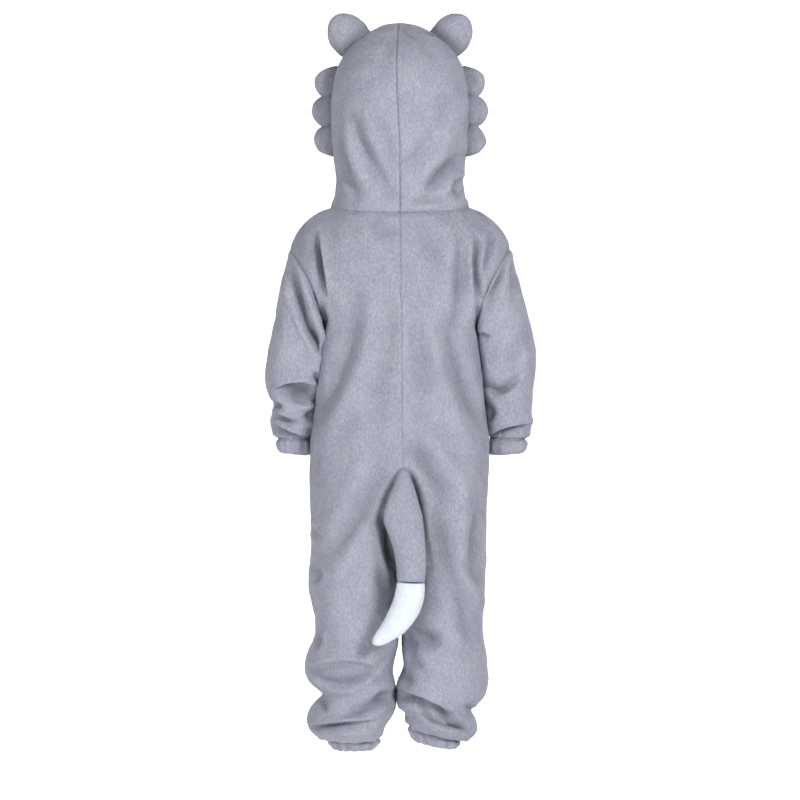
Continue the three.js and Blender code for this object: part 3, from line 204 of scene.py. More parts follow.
# Creases as seen from behind (face 1) or in front (face -1): troughs along a bent line through
# three points, with a half-width and a depth. A negative depth raises a ridge. soft widens one
# side: 1 below a line or towards the garment's left of an upright one, -1 the other side.
FOLD_COLUMNS = "face x0 z0 x1 z1 x2 z2 width depth soft"
BODY_FOLDS = table(FOLD_COLUMNS, [
    # left leg, from behind
    (1, 122, -424, 114, -430, 110, -438, 4, 3.5, 0),
    (1, 117, -476, 110, -485, 118, -496, 4.5, 4, 0),
    (1, 116, -564, 110, -572, 113, -585, 4, 4, 0),
    (1, 120, -611, 75, -600, 32, -611, 4.5, 6, 1),
    (1, 126, -615, 74, -635, 20, -601, 5, 6.5, -1),
    (1, 104, -618, 75, -621, 46, -617, 11, 3, 0),
    (1, 112, -650, 104, -658, 102, -669, 5, 4, 0),
    (1, 75, -668, 41, -660, 14, -645, 6.5, 6.5, 0),
    (1, 32, -645, 14, -652, 1, -650, 8, 5, 0),
    (1, 125, -692, 86, -683, 34, -680, 3.8, 10, 1),
    (1, 104, -692, 75, -695, 46, -688, 4, 3, -1),
    # right leg, from behind
    (1, -15, -568, -34, -570, -54, -578, 12, 9, 0),
    (1, -4, -564, -15, -588, -28, -611, 9, 5, 0),
    (1, -2, -611, -9, -622, -13, -636, 7, 4, 0),
    (1, 3, -643, -44, -657, -96, -694, 4, 9, 1),
    (1, -20, -653, -44, -681, -88, -691, 4.5, 6.5, -1),
    (1, 3, -649, -10, -651, -25, -657, 7, 5, 0),
    (1, -66, -682, -77, -686, -90, -692, 4, 6, 0),
    (1, -92, -663, -95, -670, -102, -674, 4, 4, 0),
    (1, -76, -500, -88, -540, -97, -576, 12, 4.5, 0),
    (1, -44, -388, -58, -450, -70, -502, 12, 4, 0),
    (1, -110, -388, -100, -448, -106, -500, 9, 5, 0),
    (1, -88, -350, -80, -420, -77, -468, 12, -6, 0),
    (1, -74, -466, -90, -500, -110, -526, 8, -7, 0),
    # beside the tail
    (1, -5, -346, -26, -412, -37, -478, 2.8, 8, -1),
    (1, 3, -354, 19, -386, 26, -418, 2.8, 8, 1),
    (1, 23, -406, 16, -446, 4, -500, 5, 13, 0),
    # hips and back
    (1, 22, -316, 52, -394, 90, -460, 13, 5, 0),
    (1, 34, -400, 68, -450, 84, -504, 12, -4, 0),
    (1, -10, -304, -38, -340, -66, -384, 13, 7, 0),
    (1, 112, -29, 105, -66, 99, -108, 4.5, 10, 1),
    (1, 109, -126, 104, -138, 100, -150, 5, 6.5, 0),
    (1, -104, -36, -102, -78, -107, -116, 4.5, 9, 0),
    (1, -125, -26, -117, -60, -108, -96, 5, 4.5, 0),
    (1, -106, -126, -107, -140, -105, -154, 5, 6.5, 0),
    (1, 58, -90, 76, -196, 120, -286, 11, 2.8, 0),
    (1, 38, -130, 54, -212, 112, -312, 12, -3.6, 0),
    (1, 14, -110, 22, -210, 40, -330, 12, 2.6, 0),
    (1, -20, -112, -24, -200, -22, -326, 12, 3, 0),
    (1, -40, -150, -54, -228, -96, -310, 11, -5, 0),
    (1, -66, -146, -84, -220, -110, -284, 9, 4.5, 0),
    (1, -82, -30, -80, -100, -78, -160, 8, 4.5, 0),
    (1, -60, -54, -62, -82, -58, -116, 12, -2.4, 0),
    (1, -18, -18, -40, -46, -54, -76, 12, 3, 0),
    (1, 42, -8, 26, -24, 8, -36, 11, 3, 0),
    # front
    (-1, 112, -40, 105, -70, 98, -110, 5, 9, 1),
    (-1, -112, -44, -105, -76, -99, -112, 5, 9, -1),
    (-1, 74, -96, 64, -200, 84, -300, 13, 5, 0),
    (-1, -70, -110, -62, -210, -88, -316, 13, 5, 0),
    (-1, 98, -150, 88, -230, 100, -300, 9, 3.6, 0),
    (-1, -98, -160, -86, -240, -98, -310, 9, 3.6, 0),
    (-1, 100, -376, 60, -420, 12, -446, 10, 6, 0),
    (-1, -96, -368, -56, -416, -12, -440, 10, 6, 0),
    (-1, 84, -598, 58, -606, 28, -604, 10, 6, 0),
    (-1, 122, -614, 74, -634, 20, -616, 5, 8, -1),
    (-1, 104, -648, 60, -660, 20, -650, 4.5, 7, 1),
    (-1, 114, -688, 70, -682, 30, -690, 4, 9, 1),
    (-1, -28, -598, -56, -604, -86, -612, 10, 6, 0),
    (-1, -14, -634, -66, -652, -112, -640, 5, 7, -1),
    (-1, -22, -668, -58, -684, -94, -664, 4, 8, 1),
    (-1, 96, -500, 66, -524, 34, -508, 12, 4.4, 0),
    (-1, -98, -506, -68, -528, -34, -514, 12, 4.4, 0),
])
SLEEVE_FOLDS = table(FOLD_COLUMNS, [
    (1, 147, -76, 130, -136, 106, -186, 5.5, 9, 0),
    (1, 118, -158, 111, -173, 106, -187, 5, 6, 0),
    (1, 137, -62, 121, -114, 109, -148, 4, -3, 0),
    (1, 152, -84, 156, -126, 154, -172, 8, -3, 0),
    (1, 117, -216, 111, -222, 106, -225, 5, 7, 0),
    (1, 171, -240, 139, -230, 111, -234, 4.5, 9, 1),
    (1, 160, -245, 136, -254, 111, -250, 4.5, 7, -1),
    (1, 152, -242, 132, -244, 110, -243, 8, 5, 0),
    (1, 184, -255, 172, -258, 162, -262, 4, 6, 0),
    (1, 172, -267, 157, -276, 138, -282, 4.5, 8, 1),
    (1, 128, -276, 118, -271, 109, -265, 6, 10, 0),
    (1, 178, -282, 148, -297, 114, -301, 4, 11, 1),
    (1, -144, -62, -129, -94, -108, -124, 5, 7, -1),
    (1, -156, -50, -156, -86, -151, -118, 6, 3, 0),
    (1, -148, -34, -146, -70, -136, -104, 5, -3.4, 0),
    (1, -104, -160, -112, -163, -120, -166, 4, 7, 1),
    (1, -112, -230, -136, -243, -164, -219, 5, 8, -1),
    (1, -111, -256, -122, -268, -113, -280, 6, 5.5, 0),
    (1, -117, -304, -143, -292, -180, -285, 4, 10, 1),
    (1, -174, -150, -156, -186, -142, -212, 9, 3, 0),
    (-1, 170, -228, 148, -244, 126, -236, 6, 6.5, 0),
    (-1, 174, -262, 150, -258, 122, -266, 4.5, 7, 1),
    (-1, 172, -288, 146, -296, 118, -288, 4, 8, 1),
    (-1, 141, -80, 130, -134, 110, -178, 6, 8, 1),
    (-1, -124, -240, -146, -228, -172, -238, 6, 6.5, 0),
    (-1, -122, -266, -148, -276, -172, -262, 4.5, 7, -1),
    (-1, -122, -290, -146, -298, -176, -288, 4, 8, 1),
    (-1, -141, -80, -130, -134, -110, -178, 6, 8, -1),
])
HOOD_FOLDS = table(FOLD_COLUMNS, [
    (1, 84, 116, 74, 66, 58, 18, 6.5, 4, 0),
    (1, 76, 112, 64, 74, 46, 28, 7, -1.5, 0),
    (1, 64, 122, 42, 70, 12, 18, 9, 5.5, 0),
    (1, 30, 130, 18, 80, 6, 34, 10, 2.4, 0),
    (1, -84, 158, -66, 100, -14, 28, 10, -4, 0),
    (1, -88, 76, -62, 56, -34, 20, 8, 5.5, 0),
    (1, -36, 92, -22, 74, -8, 54, 10, 3, 0),
    (1, -90, 56, -68, 44, -58, 20, 5, -3.4, 0),
    (1, -73, 42, -76, 34, -80, 22, 6, 6.5, 0),
    (1, -12, 14, -38, 15, -62, 20, 5, 3.6, 0),
    (1, -5, 250, -12, 242, -24, 234, 4.5, 2.2, 0),
    (1, 3, 232, 12, 214, 16, 190, 8, 1.8, 0),
    (-1, 92, 60, 80, 44, 66, 34, 6, 5, 0),
    (-1, -92, 56, -80, 42, -66, 30, 6, 5, 0),
])
# How far the sleeves fill the valley beside the body, over their whole length and at the elbow
SLEEVE_FILL = {"left": (7, 14), "right": (5, 2)}


# Curves, sections and grids


def smooth(xs, ys, at):
    """Cubic Hermite curve through the points (xs, ys), with central differences as its slopes."""
    if xs[0] > xs[-1]:
        xs, ys = xs[::-1], ys[::-1]
    before = np.maximum(np.arange(len(xs)) - 1, 0)
    after = np.minimum(np.arange(len(xs)) + 1, len(xs) - 1)
    slope = (ys[after] - ys[before]) / (xs[after] - xs[before])
    at = np.clip(at, xs[0], xs[-1])
    i = np.clip(np.searchsorted(xs, at, side="right") - 1, 0, len(xs) - 2)
    step = xs[i + 1] - xs[i]
    t = (at - xs[i]) / step
    return (
        (2 * t**3 - 3 * t**2 + 1) * ys[i]
        + (t**3 - 2 * t**2 + t) * step * slope[i]
        + (3 * t**2 - 2 * t**3) * ys[i + 1]
        + (t**3 - t**2) * step * slope[i + 1]
    )


def resampled(rows, spacing, weights=None, closer=1):
    """A table's columns at even steps of its own length, the root of its summed squared changes.
    closer makes the steps between two rows that many times shorter."""
    names = list(rows)
    change = sum((np.diff(rows[name]) * (weights or {}).get(name, 1)) ** 2 for name in names)
    change = change * np.asarray(closer) ** 2
    at = np.concatenate([[0], np.cumsum(np.sqrt(change))])
    steps = np.linspace(0, at[-1], max(2, round(at[-1] / spacing) + 1))
    index = np.interp(steps, at, np.arange(len(at)))
    return {name: smooth(at, rows[name], steps) for name in names} | {"row": index}


def power(value, exponent):
    """The value's size raised to the exponent, with its sign kept."""
    return np.sign(value) * np.abs(value) ** exponent


def mix(a, b, t):
    return a + (b - a) * t


def bell(value, width=1):
    """1 at zero, falling to 1/e at the width on either side."""
    return np.exp(-((value / width) ** 2))


def unit(vectors):
    return vectors / np.maximum(np.linalg.norm(vectors, axis=-1, keepdims=True), 1e-9)


def yoke_points(side, face, share, drop):
    """Points of the shoulders: share runs from the centre to the side, drop from the neckline and
    shoulder seam to the underarm. The depth is a superellipse of the chest's width, times a
    quarter circle that rounds over the shoulder."""
    face = np.asarray(face)
    top = np.where(face > 0, NECK_BACK_Z, NECK_FRONT_Z)
    quarter = np.pi / 2 * np.clip(share / NECK_SHARE, 0, 1)
    across = np.clip((share - NECK_SHARE) / (1 - NECK_SHARE), 0, 1)
    neck_x = NECK_HALF_WIDTH * np.sin(quarter) ** (2 / SQUARENESS)
    neck_z = mix(NECK_SIDE_Z, top, np.cos(quarter))
    shoulder_x = mix(NECK_HALF_WIDTH, SHOULDER_X, across)
    edge_x = np.where(share <= NECK_SHARE, neck_x, shoulder_x)
    edge_z = np.where(share <= NECK_SHARE, neck_z, smooth(RIDGE["x"], RIDGE["z"], shoulder_x))
    z = mix(edge_z, UNDERARM_Z, drop)
    around = np.sin(np.pi / 2 * share) ** (2 / SQUARENESS)
    spread = mix(edge_x / SHOULDER_X, around, drop)
    x = spread * smooth(ARMHOLE["z"], ARMHOLE["edge"], mix(SHOULDER_Z, UNDERARM_Z, drop))
    back = smooth(YOKE_DEPTH["z"], YOKE_DEPTH["back"], z)
    front = smooth(YOKE_DEPTH["z"], YOKE_DEPTH["front"], z)
    width = smooth(ARMHOLE["z"], ARMHOLE["width"], np.minimum(z, SHOULDER_Z))
    bulge = np.clip(1 - np.minimum(x / width, 1) ** SQUARENESS, 0, 1) ** (1 / SQUARENESS)
    under = np.clip((smooth(RIDGE["x"], RIDGE["z"], x) - z) / SHOULDER_ROUNDING, 0, 1)
    depth = np.where(face > 0, back, front) * bulge * np.sqrt(1 - (1 - under) ** 2)
    return np.stack(np.broadcast_arrays(side * x, face * depth, z), -1)


def section_points(side, face, rows, turn):
    """Points of the torso and legs: each row is a superellipse between its inner and outer edge,
    cut at the centre seam where it crosses it. turn runs from the side, 0, to the centre, 1."""
    row = {name: column[:, None] for name, column in rows.items()}
    centre = (row["inner"] + row["outer"]) / 2
    half = (row["outer"] - row["inner"]) / 2
    cut = row["z"] > CROTCH_Z
    share = np.clip(np.clip(centre, 0, None) / half, 0, 1) ** (SQUARENESS / 2)
    end = np.where(cut, np.pi - np.arccos(share), np.pi)
    angle = turn * end
    x = centre + half * power(np.cos(angle), 2 / SQUARENESS)
    depth = row["back"] if face > 0 else row["front"]
    y = face * depth * np.sin(angle).clip(0, 1) ** (2 / SQUARENESS)
    z = row["z"] + row["tilt"] * (x - centre) / half
    x = np.where(cut & (turn == 1), 0, x)
    return np.stack(np.broadcast_arrays(side * x, y, z), -1)


def limb_points(side, rows, angle):
    """Points of a sleeve or band: each row is a superellipse whose two ends are given as seen from
    behind, so that it can stand aslant. Angle 0 is its outer end and a quarter turn the back."""
    row = {name: column[:, None] for name, column in rows.items()}
    reach = (1 + power(np.cos(angle), 2 / SQUARENESS)) / 2
    depth = np.where(np.sin(angle) > 0, row["back"], row["front"])
    y = row["middle"] + depth * power(np.sin(angle), 2 / SQUARENESS)
    x = side * mix(row["inner_x"], row["outer_x"], reach)
    z = mix(row["inner_z"], row["outer_z"], reach)
    return np.stack(np.broadcast_arrays(x, y, z), -1)


def armhole_points(side, angle):
    """The armhole seam at a sleeve's angle, even in its steps round the underarm and shoulder."""
    column = np.where(angle <= np.pi, angle, 2 * np.pi - angle) / (np.pi / 7)
    inside = smooth(np.arange(8.0), ARMHOLE_ROWS, column)
    ends = np.where(column > 6, 1 - 0.095 * np.clip(7 - column, 0, 1) ** 2, 0.04 * column**2)
    drop = np.where((column > 6) | (column < 1), ends, inside)
    return yoke_points(side, np.where(angle <= np.pi, 1, -1), np.ones_like(angle), drop)


def hood_points(side, rows, share):
    """Points of a hood half: each row runs from the centre back round to its share of the face's
    angle. The lowest rows keep some of the neckline's own outline, which fades going up."""
    row = {name: column[:, None] for name, column in rows.items()}
    exponent = 2 / SQUARENESS

    def plain(r):
        angle = np.radians(r["face"]) * share
        depth = np.where(np.cos(angle) > 0, r["back"], r["front"])
        x = r["side"] * np.sin(angle).clip(0, 1) ** exponent
        y = depth * power(np.cos(angle), exponent)
        return np.stack(np.broadcast_arrays(side * x, y, r["z"]), -1)

    first = {name: column[:1, None] for name, column in HOOD.items()}
    neck_share = (1 - np.abs(2 * share - 1)) * NECK_SHARE
    seam = yoke_points(side, np.where(share <= 0.5, 1, -1), neck_share, 0)
    keep = np.interp(rows["row"], np.arange(len(NECK_FADE)), NECK_FADE)[:, None, None]
    return plain(row) + (seam - plain(first)) * keep


def grid_normals(points, closed=False):
    """Outward unit normals of a grid, the cross product of its two directions."""
    across = np.roll(points, -1, 1) - np.roll(points, 1, 1)
    if not closed:
        across[:, 0] = points[:, 1] - points[:, 0]
        across[:, -1] = points[:, -1] - points[:, -2]
    down = np.gradient(points, axis=0)
    normals = unit(np.cross(across, down))
    middle = points.mean(axis=1, keepdims=True)
    outward = np.sign(((points - middle) * normals).sum())
    return normals * outward


def relaxed(points, passes, closed=False):
    """The grid with its inner points eased towards their neighbours, and its edges left alone."""
    points = points.copy()
    for _ in range(passes):
        rows = (points[:-2] + 2 * points[1:-1] + points[2:]) / 4
        if closed:
            points[1:-1] = (np.roll(rows, 1, 1) + 2 * rows + np.roll(rows, -1, 1)) / 4
        else:
            points[1:-1, 1:-1] = (rows[:, :-2] + 2 * rows[:, 1:-1] + rows[:, 2:]) / 4
    return points


def fold_depth(folds, points, face):
    """How far the creases sink each point. Each is a parabola through its three points, sampled as
    short segments, and fades at both ends. A plain one is a bell across the line with a low ridge
    on each side. One with a soft side is a roll that hangs over it: a ridge, a short drop on the
    line, and a wide bell that rises again on the soft side."""
    x, z = points[..., 0], points[..., 2]
    sunk = np.zeros(x.shape)
    t = np.linspace(0, 1, 13)
    for i in np.flatnonzero(folds["face"] == face):
        fold = {name: column[i] for name, column in folds.items()}
        bend_x = 2 * fold["x1"] - (fold["x0"] + fold["x2"]) / 2
        bend_z = 2 * fold["z1"] - (fold["z0"] + fold["z2"]) / 2
        line_x = (1 - t) ** 2 * fold["x0"] + 2 * t * (1 - t) * bend_x + t**2 * fold["x2"]
        line_z = (1 - t) ** 2 * fold["z0"] + 2 * t * (1 - t) * bend_z + t**2 * fold["z2"]
        near = np.full(x.shape, 1e9)
        place = np.zeros(x.shape)
        hand = np.zeros(x.shape)
        for k in range(len(t) - 1):
            dx, dz = line_x[k + 1] - line_x[k], line_z[k + 1] - line_z[k]
            reach = (x - line_x[k]) * dx + (z - line_z[k]) * dz
            along = np.clip(reach / (dx * dx + dz * dz), 0, 1)
            from_x, from_z = x - line_x[k] - along * dx, z - line_z[k] - along * dz
            away = np.hypot(from_x, from_z)
            closer = away < near
            near = np.where(closer, away, near)
            place = np.where(closer, t[k] + along * t[1], place)
            hand = np.where(closer, (dx * from_z - dz * from_x) / np.hypot(dx, dz), hand)
        ends = 0.2 + 0.8 * np.sin(np.pi * np.clip(place, 0, 1)) ** 0.7
        if fold["soft"]:
            across = hand * fold["soft"] / fold["width"]
            beyond = np.sqrt(np.clip(near**2 - hand**2, 0, None)) / fold["width"]
            step = np.clip((across + 0.8) / 0.95, 0, 1)
            crest = -0.26 * bell(across + 0.5, 1.4)
            shape = mix(crest, bell(across, 2.2), step**2 * (3 - 2 * step)) * bell(beyond)
        else:
            across = near / fold["width"]
            shape = bell(across) - 0.34 * bell(across - 2)
        sunk += fold["depth"] * ends * shape
    return sunk


def bowed(points, face):
    """The centre seam's drift on the back, fading sideways: to the left up the hood, with a bell
    of its height, and to the right down the body as far as the tail."""
    x, y, z = points[..., 0], points[..., 1], points[..., 2]
    hood = 4.8 * np.exp(-(((z - 190) / 75) ** 2) - (x / 45) ** 2) * np.clip(y / 30, 0, 1)
    body = -4.1 * np.clip(-z / 345, 0, 1) * np.clip((z + 440) / 80, 0, 1) * bell(x, 40)
    moved = points.copy()
    moved[..., 0] += np.where(z > 5, hood, body) if face > 0 else 0
    return moved


def tail_painted_shadow(points):
    """Painted shadow on the back beside the tail: a bell of the sideways distance from the tail's
    outline at that height, wider on the garment's left below the tail's widest part."""
    x, z = points[..., 0], points[..., 2]
    middle = np.interp(-z, -TAIL["z"], TAIL["x"])
    half = np.interp(-z, -TAIL["z"], TAIL["half_width"])
    along = np.clip((-z - 345) / 8, 0, 1) * np.clip((536 + z) / 22, 0, 1)
    left = np.clip((x - middle) / 8, 0, 1) * np.clip((-z - 404) / 26, 0, 1)
    left = left * np.clip((506 + z) / 40, 0, 1)
    return along * bell(np.clip(np.abs(x - middle) - half, 0, None), 3.2 + 3.4 * left)


def waves(points, length, seed, count=14):
    """Smooth unevenness from -1 to 1 or so: a sum of plane waves in seeded random directions."""
    rng = np.random.default_rng(seed)
    directions = unit(rng.normal(size=(count, 3))) * (2 * np.pi / length)
    directions *= rng.uniform(0.6, 1.5, (count, 1))
    phases = rng.uniform(0, 2 * np.pi, count)
    return np.sin(points @ directions.T + phases).sum(-1) / np.sqrt(count)


def edge_distance(points, axis, end):
    """Each point's distance along its grid line from one end of it."""
    steps = np.linalg.norm(np.diff(points, axis=axis), axis=-1)
    total = np.cumsum(steps, axis=axis)
    pad = [(0, 0), (0, 0)]
    pad[axis] = (1, 0)
    distance = np.pad(total, pad)
    return distance if end == 0 else np.take(distance, [-1], axis=axis) - distance


def seam_groove(distance, wide=1.0):
    """The cloth turns in at a seam: a depth that falls off as a bell, and a low swell beside it."""
    cloth = bpy.context.scene.wolf_onesie.cloth
    away = distance / (cloth.seam_width / MM * wide)
    return cloth.seam_depth / MM * (bell(away) - 0.35 * bell(away - 2.2))


def sewn(points, normals, seams):
    """Normals, and each point's share of freedom, near the seams where two pieces meet at an
    angle. A seam is the distance from it and a centre. On it both pieces move straight away from
    that centre, and only by the groove, so that they still meet."""
    free = np.ones(points.shape[:2])
    for distance, centre in seams:
        near = bell(distance, 5)[..., None] * np.ones_like(points[..., :1])
        shared = points - np.asarray(centre, float)
        if centre[2] == 0:
            shared = shared * [1, 1, 0]
        normals = unit(normals * (1 - near) + unit(shared) * near)
        free = free * (1 - near[..., 0])
    return normals, free


def gathers(angle, count, seed):
    """Uneven pleats round a limb: a cosine whose phase and size wander with the angle."""
    wander = 0.9 * np.sin(2 * angle + seed) + 0.5 * np.sin(5 * angle + 2 * seed)
    size = 0.75 + 0.25 * np.sin(3 * angle + 3 * seed)
    return size * np.cos(count * angle + wander)


# Meshes


def new_mesh(name, points, faces, materials):
    """An object at the origin from points in millimetres and faces of one length."""
    mesh = bpy.data.meshes.new(name)
    faces = np.asarray(faces, np.int32)
    sides = faces.shape[1]
    mesh.vertices.add(len(points))
    mesh.vertices.foreach_set("co", (np.asarray(points) * MM).astype(np.float32).ravel())
    mesh.loops.add(faces.size)
    mesh.loops.foreach_set("vertex_index", faces.ravel())
    mesh.polygons.add(len(faces))
    mesh.polygons.foreach_set("loop_start", np.arange(0, faces.size, sides, dtype=np.int32))
    mesh.polygons.foreach_set("use_smooth", np.ones(len(faces), bool))
    mesh.update(calc_edges=True)
    for material in materials:
        mesh.materials.append(material)
    obj = bpy.data.objects.new(name, mesh)
    bpy.context.scene.collection.objects.link(obj)
    return obj


def add_values(obj, **fields):
    """One number per vertex for each named field, for the materials to read."""
    for label, values in fields.items():
        attribute = obj.data.attributes.new(label, "FLOAT", "POINT")
        attribute.data.foreach_set("value", np.asarray(values, np.float32))


def grid_faces(rows, columns, closed, flip):
    """The quads of a grid of points numbered row by row."""
    across = np.arange(columns if closed else columns - 1)
    r, c = np.meshgrid(np.arange(rows - 1), across, indexing="ij")
    n = (c + 1) % columns
    upper, lower = r * columns, (r + 1) * columns
    quads = np.stack([upper + c, upper + n, lower + n, lower + c], -1).reshape(-1, 4)
    return quads[:, ::-1] if flip else quads


def surface(name, points, normals, materials, closed=False):
    """An object from a grid, with its quads turned so that they follow the normals."""
    quad = np.cross(points[:-1, 1:] - points[:-1, :-1], points[1:, :-1] - points[:-1, :-1])
    flip = (quad * normals[:-1, :-1]).sum() <= 0
    faces = grid_faces(*points.shape[:2], closed, flip)
    return new_mesh(name, points.reshape(-1, 3), faces, materials)


def mended(obj, weld=True, fill=False, outward=False):
    """Welds points that coincide, as at a pole, and drops what collapses. It can also fill open
    end rings and turn all faces out."""
    work = bmesh.new()
    work.from_mesh(obj.data)
    if weld:
        bmesh.ops.remove_doubles(work, verts=work.verts, dist=WELD)
    rings = [edge for edge in work.edges if fill and edge.is_boundary]
    if rings:
        bmesh.ops.holes_fill(work, edges=rings)
    if outward:
        bmesh.ops.recalc_face_normals(work, faces=work.faces)
    work.to_mesh(obj.data)
    work.free()


def thickened(obj, thickness):
    """The sheet with its thickness in metres on the inner side of its faces."""
    solid = obj.modifiers.new("thickness", "SOLIDIFY")
    solid.thickness = thickness
    solid.offset = -1
    return solid


def placed(obj, node=None, body=GARMENT):
    """The piece rides on a body and may stand for a CAD node."""
    if node:
        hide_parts(node)
    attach(obj, body)


def cloth_piece(node, kind, grid, seed):
    """A sheet of cloth that stands for its node, the outer side in plush and the inner in backing,
    with its pile. The grid is its points, their normals, the painted shade of each and whether it
    closes on itself."""
    points, normals, hollow, closed = grid
    materials = [plush("grey_plush"), backing()]
    obj = surface(f"{node}_{kind}", points, normals, materials, closed)
    add_values(obj, hollow=hollow.ravel())
    mended(obj)
    solid = thickened(obj, bpy.context.scene.wolf_onesie.cloth.thickness)
    solid.material_offset = 1
    solid.use_rim = True
    placed(obj, node)
    fur = grow_pile(f"{node}_pile", grid, "grey_plush", seed)


def grow_pile(name, grid, slot, seed, share=1.0):
    """Short strands over a grid. Roots are spread evenly by area; each strand is a narrow kite,
    folded along its length, that lies down with the nap and wanders in patches. Its shading
    normal is mostly the cloth's own, so the pile takes light as one soft surface."""
    pile = bpy.context.scene.wolf_onesie.pile
    rng = np.random.default_rng(seed)
    points, out, hollow, closed = grid
    if closed:
        points, out, hollow = (np.concatenate([a, a[:, :1]], 1) for a in (points, out, hollow))
    a, b, c, d = points[:-1, :-1], points[:-1, 1:], points[1:, 1:], points[1:, :-1]
    area = np.linalg.norm(np.cross(c - a, d - b), axis=-1) / 2
    count = int(area.sum() * pile.density * share)
    cell = rng.choice(area.size, count, p=(area / area.sum()).ravel())
    r, k = np.unravel_index(cell, area.shape)
    s, t = rng.random((2, count, 1))
    corners = (
        (0, 0, (1 - s) * (1 - t)), (0, 1, s * (1 - t)), (1, 1, s * t), (1, 0, (1 - s) * t),
    )

    def at_roots(values):
        return sum(weight * values[r + i, k + j] for i, j, weight in corners)

    root, normal = at_roots(points), unit(at_roots(out))
    swirl = np.stack([waves(root, 26, seed + i) for i in (11, 12, 13)], -1)
    loose = rng.normal(size=(count, 3)).clip(-1.5, 1.5)
    nap = np.array([0, 0, -1.0]) * pile.lean + swirl * 0.26 + loose * 0.22
    nap -= normal * (nap * normal).sum(-1, keepdims=True)
    direction = unit(unit(nap) + normal * pile.lift * rng.uniform(0.5, 1.5, (count, 1)))
    length = pile.length / MM * (0.72 + 0.3 * rng.random((count, 1)) + 0.14 * swirl[:, :1])
    width = pile.width / MM / 2 * (0.75 + 0.5 * rng.random((count, 1)))
    side = unit(np.cross(direction, normal + 0.3 * loose))
    above = np.cross(side, direction)
    start = root - normal * 0.35
    middle = start + direction * length * 0.4 - above * width * 0.35
    end = start + direction * length
    points = np.stack([start, middle + side * width, end, middle - side * width], 1)
    first = np.arange(count)[:, None] * 4
    faces = np.stack([first + [0, 1, 2], first + [0, 2, 3]], 1).reshape(-1, 3)
    obj = new_mesh(name, points.reshape(-1, 3), faces, [pile_fibre(slot)])
    soft = unit(normal * (1 - pile.relief) + above * pile.relief)
    obj.data.normals_split_custom_set_from_vertices(np.repeat(soft, 4, axis=0).tolist())
    # The strands carry the cloth's painted shade at their roots.
    add_values(
        obj, tip=np.tile([0.0, 0.5, 1.0, 0.5], count), strand=np.repeat(rng.random(count), 4),
        hollow=np.repeat(at_roots(hollow[..., None])[:, 0], 4),
    )
    placed(obj)
    return obj


# Materials


def linear(colour):
    """The linear value of a colour given as it looks on the screen."""
    c = np.asarray(colour, float)
    return tuple(np.where(c <= 0.04045, c / 12.92, ((c + 0.055) / 1.055) ** 2.4)) + (1.0,)


def new_material(name):
    """A material with its node tree and its one shader."""
    material = bpy.data.materials.new(name)
    material.use_nodes = True
    nodes = material.node_tree.nodes
    nodes.clear()
    shader = nodes.new("ShaderNodeBsdfPrincipled")
    output = nodes.new("ShaderNodeOutputMaterial")
    material.node_tree.links.new(shader.outputs["BSDF"], output.inputs["Surface"])
    return material, material.node_tree, shader


def noise(tree, scale, detail=2.0, roughness=0.5, drawn=1.0):
    """A noise texture on object coordinates. Its scale is in features per metre, and drawn below 1
    makes the features that much longer downwards, along the nap."""
    where = tree.nodes.new("ShaderNodeTexCoord")
    longer = tree.nodes.new("ShaderNodeMapping")
    longer.inputs["Scale"].default_value = (1, 1, drawn)
    tree.links.new(where.outputs["Object"], longer.inputs["Vector"])
    node = tree.nodes.new("ShaderNodeTexNoise")
    node.inputs["Scale"].default_value = scale
    node.inputs["Detail"].default_value = detail
    node.inputs["Roughness"].default_value = roughness
    tree.links.new(longer.outputs["Vector"], node.inputs["Vector"])
    return node.outputs["Fac"]


def ramp(tree, factor, stops):
    """A colour ramp through (place, colour) stops."""
    node = tree.nodes.new("ShaderNodeValToRGB")
    elements = node.color_ramp.elements
    while len(elements) < len(stops):
        elements.new(0.5)
    for element, (place, colour) in zip(elements, stops):
        element.position = place
        element.color = colour
    tree.links.new(factor, node.inputs["Fac"])
    return node.outputs["Color"]


def multiplied(tree, first, second):
    """Two colours multiplied."""
    node = tree.nodes.new("ShaderNodeMix")
    node.data_type = "RGBA"
    node.blend_type = "MULTIPLY"
    node.inputs["Factor"].default_value = 1
    tree.links.new(first, node.inputs["A"])
    tree.links.new(second, node.inputs["B"])
    return node.outputs["Result"]


def bumped(tree, shader, height, strength, distance):
    """Gives the shader a bump of the height, whose full depth is distance in metres."""
    node = tree.nodes.new("ShaderNodeBump")
    node.inputs["Strength"].default_value = strength
    node.inputs["Distance"].default_value = distance
    tree.links.new(height, node.inputs["Height"])
    tree.links.new(node.outputs["Normal"], shader.inputs["Normal"])


def grey(value):
    return (value, value, value, 1.0)


def plush_colour(name):
    """The set colour, as it looks, of the white or the grey plush."""
    cloth = bpy.context.scene.wolf_onesie.cloth
    return np.array(cloth.white if name.startswith("white") else cloth.grey)


def painted_crease_shade(tree, colour):
    """The colour darkened by painted shade in creases and shadows, and lightened by painted light
    on ridges, as the per-vertex value says.
    """
    hollow = tree.nodes.new("ShaderNodeAttribute")
    hollow.attribute_name = "hollow"
    place = tree.nodes.new("ShaderNodeMapRange")
    place.inputs["From Min"].default_value = -1
    tree.links.new(hollow.outputs["Fac"], place.inputs["Value"])
    shade = ramp(tree, place.outputs["Result"], [
        (0.25, grey(1.0)), (0.5, grey(0.955)), (0.75, grey(0.8)), (1.0, grey(0.48)),
    ])
    return multiplied(tree, colour, shade)


